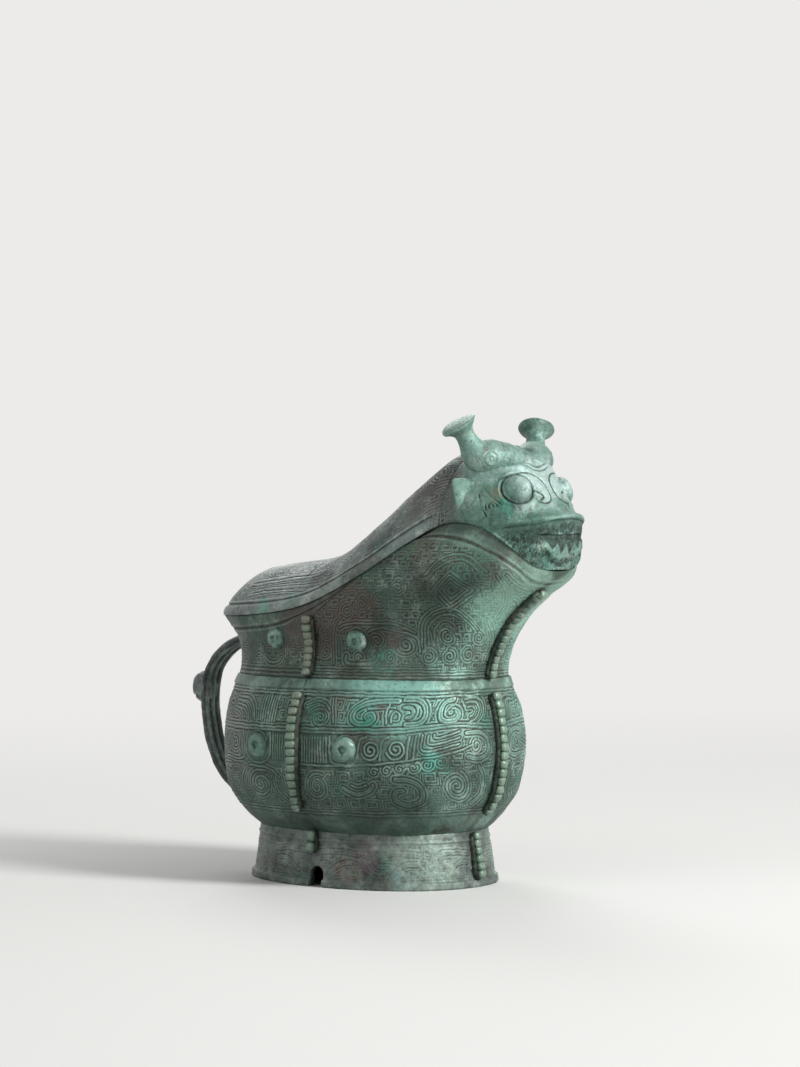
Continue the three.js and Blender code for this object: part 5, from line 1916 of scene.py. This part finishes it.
    def tongue(self) -> bpy.types.Object:
        """The lip that drops inside the vessel's mouth."""
        drawn = WALL + self.tongue_clear
        span = (self.tongue_front - self.tongue_rear) / 2
        x = self.tongue_rear + span * (1 - np.cos(np.linspace(0, math.pi, 90)))
        half = np.minimum(half_width(x, RIM(x), drawn), half_width(x, RIM(x) - self.tongue_deep, drawn))
        near = np.stack([x, -np.maximum(half, 1.0)], -1)
        loop = np.concatenate([near, near[::-1] * (1, -1)])
        middle = np.array([(self.tongue_rear + self.tongue_front) / 2, 0.0])
        away = np.maximum(np.linalg.norm(loop - middle, axis=1, keepdims=True), 20)
        shrunk = middle + (loop - middle) * (1 - self.tongue_thick / away)
        low, high = -self.tongue_deep, self.tongue_rise
        grid = np.stack([np.stack([plan[:, 0], plan[:, 1], RIM(plan[:, 0]) + lift], -1)
                         for plan, lift in ((loop, low), (loop, high), (shrunk, high), (shrunk, low))], 1)
        ids = np.arange(grid[..., 0].size).reshape(grid.shape[:2])
        quads = band(np.concatenate([ids, ids[:, :1]], 1))
        return Skin(grid.reshape(-1, 3), quads, [], np.full(ids.size, 0.5)).build("lid_lip")


@dataclass
class DragonHead:
    """The hollow head that closes the spout, with its muzzle, toothed mouth and hooked brows."""

    slot_low: float = 168.3
    slot_high: float = 170.6
    corner: float = 17.6
    tooth_step: float = 7.2
    tooth_half: float = 3.8
    tooth_top: float = 167.9
    eye: Place = (101.0, 18.6, 192.0)
    eye_groove: float = 7.7
    under_deep: float = 1.8
    field_deep: float = 0.9
    slot_deep: float = 1.7
    tooth_out: float = 0.7
    wall: float = 4.5
    nose: float = 120.4
    arc_along: float = 104.0
    arc_across: float = 122.0
    grain: float = GRAIN * 1.18
    back_rows: int = 10

    ARCHES = np.array([
        (66.3, 209.6, 66.3, 2.2, 0.72), (72, 211.8, 71, 2.4, 0.68), (79, 213, 76, 2.6, 0.62),
        (86, 212.4, 81, 2.6, 0.6), (93, 209.4, 86, 2.5, 0.6), (99, 204, 90, 2.4, 0.62),
        (104, 197.5, 94, 2.4, 0.62), (108.5, 190.5, 97.5, 2.4, 0.64), (113.2, 184, 100.5, 2.5, 0.7),
        (118, 180.6, 103, 2.8, 0.78), (119.6, 178.8, 104.5, 2.9, 0.8), (118.6, 173.5, 106.3, 2.8, 0.8),
        (117.6, 168.5, 107.8, 2.6, 0.78), (116.2, 162.5, 109.3, 2.6, 0.75), (113, 157.5, 110.6, 2.5, 0.7),
        (112.0, 154.1, 111.2, 2.3, 0.6)])
    LIP = ((96.5, 31.4, 173.4), (101.3, 28.3, 175.8), (105.2, 25.6, 176.5), (110.5, 21, 177.3),
           (115.7, 16.2, 178), (118.9, 9.4, 179), (119.4, 0, 179.6))
    LOWER = ((0, 161.2), (3, 161.5), (6, 162.2), (11, 164.2), (15, 166.6), (17.6, 169.4))
    BROW_OUTER = ((92.6, 24, 195.6), (95.6, 21.2, 197.9), (98.6, 17.1, 199.4), (101.4, 9.1, 200.2),
                  (104.5, 3.2, 196.7), (108.5, 2.4, 190.5), (110.7, 4.6, 187), (110.9, 9.6, 185.6),
                  (109.2, 12.6, 187))
    BROW_INNER = ((101.4, 14.6, 197.6), (103.8, 13.1, 194.6), (105.9, 12.4, 191.6), (107.5, 9.2, 190.8),
                  (109, 8.2, 188.6), (109.2, 10.8, 187.2))
    BROW_MIDDLE = ((97.6, 18.4, 198.4), (101.6, 12, 198.8), (104.4, 8, 195.4), (107, 6, 191.4),
                   (109.6, 6, 187.8), (110.4, 9.6, 186.6))
    MARKS = (((88.8, 28.6, 192.6), (93, 28.4, 189), (97.6, 27.2, 185.6)),
             ((87, 29.6, 189.6), (89, 30.2, 184), (92, 31, 179.6)),
             ((97.4, 9.4, 204.8), (99, 5, 203.9), (99.6, 0, 203.4)),
             ((98.8, 8.8, 203), (100.4, 4.6, 201.9), (101, 0, 201.4)))

    def grid(self, rows: int, share: Array, inset: float) -> Array:
        """Points of the head's smooth form.

        Args:
            rows: how many arches.
            share: places across, -1 to 1.
            inset: how far inside the surface.

        Returns:
            A grid of points.
        """
        index = np.arange(len(self.ARCHES))
        at = np.linspace(0, len(index) - 1, rows + 1)
        ridge_x, ridge_z, rim_x, power, fullness = resample(self.ARCHES, index, at)
        foot = np.stack([rim_x, RIM(rim_x) + Lid.lift], -1)
        ridge = np.stack([ridge_x, ridge_z], -1)
        away = ridge - foot
        size = np.linalg.norm(away, axis=1, keepdims=True)
        ridge = foot + away * np.maximum(size - inset, 0.8) / size
        half = np.maximum(lid_half(rim_x) - inset, 1.0)
        return arch(ridge, foot, half, share, power, fullness)

    @staticmethod
    def near(points: Array, line: Sequence[Place]) -> Array:
        """Distance of points from a line in space, mirrored to both sides."""
        at = points * (1, 0, 1) + np.abs(points) * (0, 1, 0)
        best = np.full(points.shape[:-1], 1e9)
        smoothed = flow(line, 3) if len(line) < 20 else line
        for a, b in zip(smoothed[:-1], smoothed[1:]):
            p, q = np.array(a, float), np.array(b, float)
            d = q - p
            t = np.clip(((at - p) @ d) / (d @ d), 0, 1)
            best = np.minimum(best, np.linalg.norm(at - p - t[..., None] * d, axis=-1))
        return best

    def raised(self, p: Array, line: Sequence[Place], wide: float, tall: float) -> Array:
        """A rounded raised line, or a sunk one where tall is negative."""
        return tall * bump(self.near(p, line), wide)

    def under_lip(self, y: Array, z: Array) -> Array:
        """How far places lie under the edge of the overhanging lip."""
        line = np.array(self.LIP[::-1])
        return np.interp(y, line[:, 1], line[:, 2]) - z

    def mouth(self, p: Array) -> tuple[Array, Array, Array]:
        """The overhanging lip, the slot under it, the toothed field and the lower lip.

        Args:
            p: points of the smooth form.

        Returns:
            How far each point moves out, how shaded it is, and where the toothed field lies.
        """
        x, y = p[..., 0], np.abs(p[..., 1])
        z = p[..., 2] + 0.3 * lumps(p[..., 1], x, 4.5, 94)
        drop = self.under_lip(y, z)
        front = smooth(x, 95, 103)
        ledge = 0.9 * bump(drop + 0.7, 1.1) * front
        under = smooth(drop, 0.2, 1.3) * (1 - smooth(drop, 7, 15)) * front
        lower = np.interp(y, *np.transpose(self.LOWER))
        face = smooth(x, 103, 107)
        within = (1 - smooth(y, self.corner - 0.5, self.corner + 0.5)) * face
        below_slot = 1 - smooth(z, self.slot_high - 0.3, self.slot_high + 0.3)
        field = smooth(z, lower - 0.5, lower + 0.6) * below_slot * within
        slot = smooth(z, self.slot_low - 0.4, self.slot_low + 0.4) * below_slot * within
        place = np.abs((y / self.tooth_step + 0.5) % 1 - 0.5) * self.tooth_step
        lean = np.clip((z - lower) / np.maximum(self.tooth_top - lower, 1.0), 0, 1)
        inside = self.tooth_half * (1 - lean) - place
        tooth = smooth(inside, -0.3, 0.7) * field * (1 - slot)
        rim = 0.8 * bump(z - lower + 1.9, 1.5) * (1 - smooth(y, self.corner, self.corner + 5)) * face
        trough = -0.5 * bump(z - lower + 4.8, 1.3) * (1 - smooth(y, 12, 20)) * face
        out = (ledge + rim + trough - self.under_deep * under - self.field_deep * field
               - self.slot_deep * slot + self.tooth_out * tooth)
        edge = bump(inside, 0.5) * field * (1 - slot)
        shade = 0.1 * under + 0.13 * field + 0.55 * slot + 0.26 * edge - 0.2 * tooth - 0.04 * rim
        return out, shade, field

    def features(self, p: Array) -> tuple[Array, Array]:
        """The face's relief.

        Args:
            p: points of the smooth form.

        Returns:
            How far each point moves out, and its tone.
        """
        x, y, z = p[..., 0], np.abs(p[..., 1]), p[..., 2]
        out, shade, field = self.mouth(p)
        from_eye = np.linalg.norm(np.stack([x, y, z], -1) - self.eye, axis=-1) - self.eye_groove
        ring_line = bump(from_eye, 0.5)
        out = out - 0.9 * ring_line + 0.5 * bump(from_eye - 1.4, 1.0)
        engraved = ring_line * 0.5
        out = out + self.raised(p, self.BROW_MIDDLE, 3.4, 0.5)
        for line in (self.BROW_OUTER, self.BROW_INNER):
            out = out + self.raised(p, line, 0.5, -0.65)
            engraved = np.maximum(engraved, self.raised(p, line, 0.45, 0.6))
        coil = []
        for k in range(30):
            a, r = math.radians(60 + k * 25), 3.8 * (1 - 0.84 * k / 29)
            coil.append((94.0 + 0.9 * r * math.cos(a), 29.0 - 0.4 * r * math.cos(a), 184.2 + r * math.sin(a)))
        for line in (coil, *self.MARKS):
            out = out + self.raised(p, line, 0.55, -0.5)
            engraved = np.maximum(engraved, self.raised(p, line, 0.42, 0.42))
        from_horn = self.near(p, [(89, 9, 205.5), (83, 20.5, 207.8)])
        horn_collar = 1.5 * bump(from_horn - 9.6, 2.4) * smooth(z, 198, 203)
        cheek = 1.9 * bump(x - 78, 9) * bump(z - 187, 10) * smooth(y, 20, 28)
        jaw = smooth(self.under_lip(y, z), 2, 6) * smooth(x, 92, 99)
        flat = np.clip(1 - shade * 2, 0, 1) * (1 - 0.8 * field)
        pitted = flat * (0.15 * lumps(x * 1.3 + y, z * 1.3, 3.0, 95)
                         + 0.12 * lumps(y * 1.4 - x * 0.6, z * 1.4 - x, 1.4, 96)
                         + 0.1 * lumps(x - y * 1.3, z * 1.2 + x * 0.3, 1.0, 98))
        out = out + horn_collar + cheek + jaw * pitted
        tone = 0.62 + np.clip(out, -1, 1) * 0.06 - shade - engraved * 0.75 + jaw * (pitted * 1.3 - 0.08)
        return out, np.clip(tone, 0, 1)

    def collar(self, base: Array) -> tuple[Array, Array]:
        """The lid's ground of squared scrolls, carried on over the head's rear edge.

        Args:
            base: points of the smooth form, share along the first axis.

        Returns:
            How far each point moves out, and its tone.
        """
        sheet = Ornament((60, -2), (90, 70))
        sheet.thunder((62, 1), (88, 68), 5.6, 4.4, 61)
        run = run_along(base)
        across = np.abs(run - run[-1:] / 2)
        kept = 1 - smooth(base[..., 0] + lumps(across, run, 6, 62) * 1.5, 69.5, 74)
        carved, spare = sheet.sample(base[..., 0] + 0 * across, across)
        return carved * kept, spare * kept * 1.6

    def make(self) -> None:
        """Build and dress the head."""
        rows = rows_over(self.arc_along, self.grain, self.back_rows)
        share = np.sin(np.linspace(-math.pi / 2, math.pi / 2, int(self.arc_across / self.grain) + 1))
        base = self.grid(rows, share, 0.0)
        inner = self.grid(self.back_rows, share, self.wall)
        height, tone = self.features(base)
        ground, ground_tone = self.collar(base)
        height, tone = height + ground, np.clip(tone + ground_tone, 0, 1)
        x, y, z = base[..., 0], base[..., 1], base[..., 2]
        fade = smooth(z - (RIM(x) + Lid.lift), 0.0, 1.2)
        uneven = (0.16 * lumps(x * 2 + 40, y + z, 8, 97) + 0.09 * lumps(x + y, z - y, 2.4, 93)
                  + 0.055 * lumps(x - z, y * 1.2, 1.2, 92))
        outer = base + facing_out(normals_of(base), UP) * ((height + uneven) * fade)[..., None]
        outer[..., 0] = np.minimum(outer[..., 0], self.nose)
        piece = slab(outer, inner, tone).build("dragon_head_skin")
        dress(piece, Finish.PALE, "lid", ["dragon_head"])


@dataclass
class Horn:
    """A bottle-shaped horn: a scrolled bulb, a waisted stem and a flared cap."""

    side: Side
    scroll_place: Place = (85.0, 17.5, 207.0)
    scroll_radius: float = 4.8
    scroll_turns: float = 2.1
    around: int = 96
    rings: int = 130

    LINE = ((91.4, 2.5, 202.6, 4.0), (90.6, 5.4, 204.2, 6.8), (89, 9, 205.5, 8.7), (86, 15.5, 206.5, 9.4),
            (83, 20.5, 207.8, 9.2), (80.8, 24, 210, 7.6), (79.6, 26.4, 213.4, 5.6), (78.6, 28.4, 217, 4.6),
            (77.8, 30, 219.8, 5.2), (77.2, 31.1, 221.7, 7.6), (76.8, 31.8, 222.8, 8.9),
            (76.5, 32.4, 223.8, 8), (76.3, 32.9, 224.7, 4.4))

    def spine(self) -> tuple[Array, Array, Array]:
        """The horn's middle line.

        Returns:
            Its points, their radii, and how far along each lies.
        """
        table = np.array(self.LINE, float) * (1, self.side.value, 1, 1)
        run = run_along(table[:, :3])
        at = np.linspace(0, run[-1], self.rings)
        *path, radius = resample(table, run, at)
        return np.stack(path, -1), np.maximum(radius, 0.5), at

    def marks(self, p: Array, at: Array, turn: Array) -> Array:
        """The scroll on the bulb's outer face, and an uneven cast.

        Args:
            p: points of the plain horn.
            at: how far along each ring lies.
            turn: angle of each point round the horn.

        Returns:
            How far each point moves out.
        """
        hand = self.side.value
        view = math.radians(VIEW_TURN)
        toward = np.array([math.sin(view), hand * math.cos(view), 0.0])
        beside = np.array([math.cos(view), -hand * math.sin(view), 0.0])
        from_middle = p - np.array(self.scroll_place) * (1, hand, 1)
        u, v = from_middle @ beside, from_middle[..., 2]
        r = np.hypot(u, v)
        winding = (r / self.scroll_radius * self.scroll_turns - np.arctan2(v, u) / (2 * math.pi)) % 1
        inside = 1 - smooth(r, self.scroll_radius - 0.6, self.scroll_radius + 0.3)
        line = bump(winding - 0.5, 0.16) * inside * smooth(from_middle @ toward, 2.0, 5.0)
        far = at[:, None] + 0 * turn
        turn = turn + 0 * far
        return 0.5 * line + 0.13 * lumps(turn * 6, far, 3, 98 + hand) + 0.05 * lumps(turn * 9, far * 2, 2, 99)

    def make(self) -> None:
        """Build and dress the horn."""
        path, radius, at = self.spine()
        way = way_along(path)
        level = np.cross(way, (1.0, 0.0, 0.0))
        level /= np.linalg.norm(level, axis=1, keepdims=True)
        rise = np.cross(way, level)
        turn = np.linspace(0, 2 * math.pi, self.around, endpoint=False)[None]
        outward = np.cos(turn)[..., None] * level[:, None] + np.sin(turn)[..., None] * rise[:, None]
        plain = path[:, None] + outward * radius[:, None, None]
        height = self.marks(plain, at, turn)
        skin = tube(plain + outward * height[..., None])
        skin.relief = np.clip(0.62 + height.ravel() * 0.7, 0, 1)
        name = f"{self.side.name.lower()}_horn"
        dress(skin.build(f"{name}_skin"), Finish.PALE, "lid", [name])


@dataclass
class DomedEye:
    """A smooth bulging eye with a faint pupil."""

    side: Side
    radius: float = 7.0
    tall: float = 3.9

    def make(self) -> None:
        """Build and dress the eye."""
        r, t = self.radius, self.tall
        profile = [(0, -3), (r * 0.9, -3), (r * 0.97, -1), (r, 0.3), (r * 0.95, t * 0.42),
                   (r * 0.8, t * 0.72), (r * 0.52, t * 0.93), (r * 0.26, t * 0.99), (r * 0.17, t),
                   (r * 0.12, t * 0.95), (r * 0.06, t * 0.93), (0, t * 0.93)]
        hand = self.side.value

        def dents(local: Array) -> Array:
            """The dome's slight unevenness."""
            return 0.09 * lumps(local[..., 0] * 2, local[..., 1] * 2, 5, 75)

        x, y, z = DragonHead.eye
        skin = lathe(smooth_profile(profile, 60), 72, (0.42, 0.85 * hand, 0.32), (x, y * hand, z), dents)
        name = f"{self.side.name.lower()}_eye"
        dress(skin.build(f"{name}_dome"), Finish.PALE, "lid", [name])


@dataclass
class Ear:
    """The upright rear edge of the cheek, a leaf that stands clear of the lid's back."""

    side: Side
    keep: float = 0.34

    RINGS = (
        ((69.4, 19, 197), (93, 19, 197), (92, 19, 182), (72, 19, 178.5)),
        ((73.4, 29, 198.6), (85, 28.4, 196.6), (86, 29.6, 184), (76.6, 30.4, 179.6)),
        ((72.6, 33.6, 198.2), (77.6, 32.6, 195.8), (79.6, 33.8, 187), (77.6, 34.8, 182)),
    )

    def make(self) -> None:
        """Build and dress the ear."""
        name = f"{self.side.name.lower()}_ear"
        piece = tube(np.array(self.RINGS, float) * (1, self.side.value, 1)).build(f"{name}_skin")
        edges = piece.data.attributes.new("crease_edge", "FLOAT", "EDGE")
        edges.data.foreach_set("value", np.full(len(piece.data.edges), self.keep, np.float32))
        rounding = piece.modifiers.new("rounding", "SUBSURF")
        rounding.levels = rounding.render_levels = 5
        settle(piece)
        points = read_points(piece.data) / MM
        out = 0.12 * lumps(points[:, 0] * 2 + points[:, 1], points[:, 2] * 2, 5, 94)
        points[:, 1] += out * self.side.value
        write_points(piece.data, points * MM)
        write_relief(piece.data, np.clip(0.68 + out * 2, 0, 1))
        piece.data.update()
        dress(piece, Finish.LEAF, "lid", [name])


# Studio


def aim(made: bpy.types.Object, place: Place, way: Vector) -> None:
    """Stand a camera or a lamp at a place, in metres, facing a way."""
    made.location, made.rotation_mode = place, "QUATERNION"
    made.rotation_quaternion = way.to_track_quat("-Z", "Y")


@dataclass(frozen=True)
class Studio:
    """The floor, the lamps and the camera at the photograph's viewing angle."""

    azimuth: float = VIEW_TURN
    distance: float = 1.375
    eye_height: float = 0.1715
    shift_side: float = 0.013
    lens: float = 92.78
    sensor: float = 36.0
    far: float = 30.0
    target: float = 0.12
    floor_colour: str = "f2f2ef"
    bounce_colour: str = "c4c4c1"
    back_colour: str = "ecebe9"

    def camera(self) -> None:
        """Set the camera where the photograph was taken from."""
        a = math.radians(self.azimuth)
        data = bpy.data.cameras.new("camera")
        data.lens, data.sensor_width = self.lens, self.sensor
        made = bpy.context.scene.camera = stand("camera", data)
        c, s = math.cos(a), math.sin(a)
        side, back = self.shift_side, self.distance
        aim(made, (side * c + back * s, side * s - back * c, self.eye_height), Vector((-s, c, 0)))

    @staticmethod
    def seen(book: NodeBook) -> Socket:
        """1 for what the camera or a reflection sees, 0 for light that bounces."""
        rays = [book.make("ShaderNodeLightPath", output=f"Is {kind} Ray")
                for kind in ("Camera", "Glossy", "Transmission")]
        return book.make("ShaderNodeClamp", None, {0: rays[0] + rays[1] + rays[2]})

    def floor(self) -> None:
        """A wide pale floor that keeps the object's shadow and fades into the background far away."""
        mesh = bpy.data.meshes.new("floor")
        corners = ((-1, -1), (1, -1), (1, 1), (-1, 1))
        mesh.from_pydata([(x * self.far, y * self.far, 0) for x, y in corners], [], [(0, 1, 2, 3)])
        made = stand("floor", mesh)
        paint = bpy.data.materials.new("floor_paint")
        book = NodeBook.of(paint)
        place = book.make("ShaderNodeTexCoord", output="Object")
        away = book.make("ShaderNodeVectorMath", {"operation": "LENGTH"}, {0: place}, "Value")
        seen = self.seen(book)
        tint = book.blend(seen, colour(self.bounce_colour), colour(self.floor_colour))
        plain = book.make("ShaderNodeBsdfPrincipled", None, {"Base Color": tint, "Roughness": 0.85})
        glow = book.make("ShaderNodeEmission", None, {"Color": colour(self.back_colour), "Strength": 1.0})
        faded = away.step(0.05, 0.4) * 0.42 + away.step(0.35, 1.4) * 0.58
        mixed = book.make("ShaderNodeMixShader", None, {0: faded * seen, 1: plain, 2: glow})
        book.make("ShaderNodeOutputMaterial", None, {"Surface": mixed})
        mesh.materials.append(paint)

    def lamp(self, name: str, place: Place, size: float, energy: float) -> None:
        """A soft square lamp that faces the vessel.

        Args:
            name: its name.
            place: where it stands, in metres.
            size: its side.
            energy: its power.
        """
        data = bpy.data.lights.new(name, "AREA")
        data.size, data.energy = size, energy
        aim(stand(name, data), place, Vector((0, 0, self.target)) - Vector(place))

    def world(self) -> None:
        """A pale even surround, shown as the background."""
        world = bpy.data.worlds.new("surround")
        bpy.context.scene.world = world
        book = NodeBook.of(world)
        dim = book.make("ShaderNodeBackground", None, {"Color": colour("f0f0f0"), "Strength": 0.19})
        shown = book.make("ShaderNodeBackground", None, {"Color": colour(self.back_colour), "Strength": 1.0})
        mixed = book.make("ShaderNodeMixShader", None, {0: self.seen(book), 1: dim, 2: shown})
        book.make("ShaderNodeOutputWorld", None, {"Surface": mixed})

    def make(self) -> None:
        """Build the whole studio."""
        bpy.context.scene.view_settings.view_transform = "Standard"
        self.world()
        self.floor()
        self.lamp("key_lamp", (1.45, 0.15, 0.9), 0.4, 28.0)
        self.lamp("fill_lamp", (-0.6, -1.6, 0.8), 1.0, 4.5)
        self.lamp("back_lamp", (-1.0, 0.9, 1.1), 0.7, 8.0)
        self.camera()


def main() -> None:
    """Build every sub-assembly in order, then the studio."""
    logging.basicConfig(level=logging.INFO, format="%(message)s")
    VesselWall().make()
    FootRing().make()
    make_flanges()
    make_bosses()
    Handle().make()
    Lid().make()
    DragonHead().make()
    for side in Side:
        Horn(side).make()
        DomedEye(side).make()
        Ear(side).make()
    Studio().make()


if __name__ == "__main__":
    main()
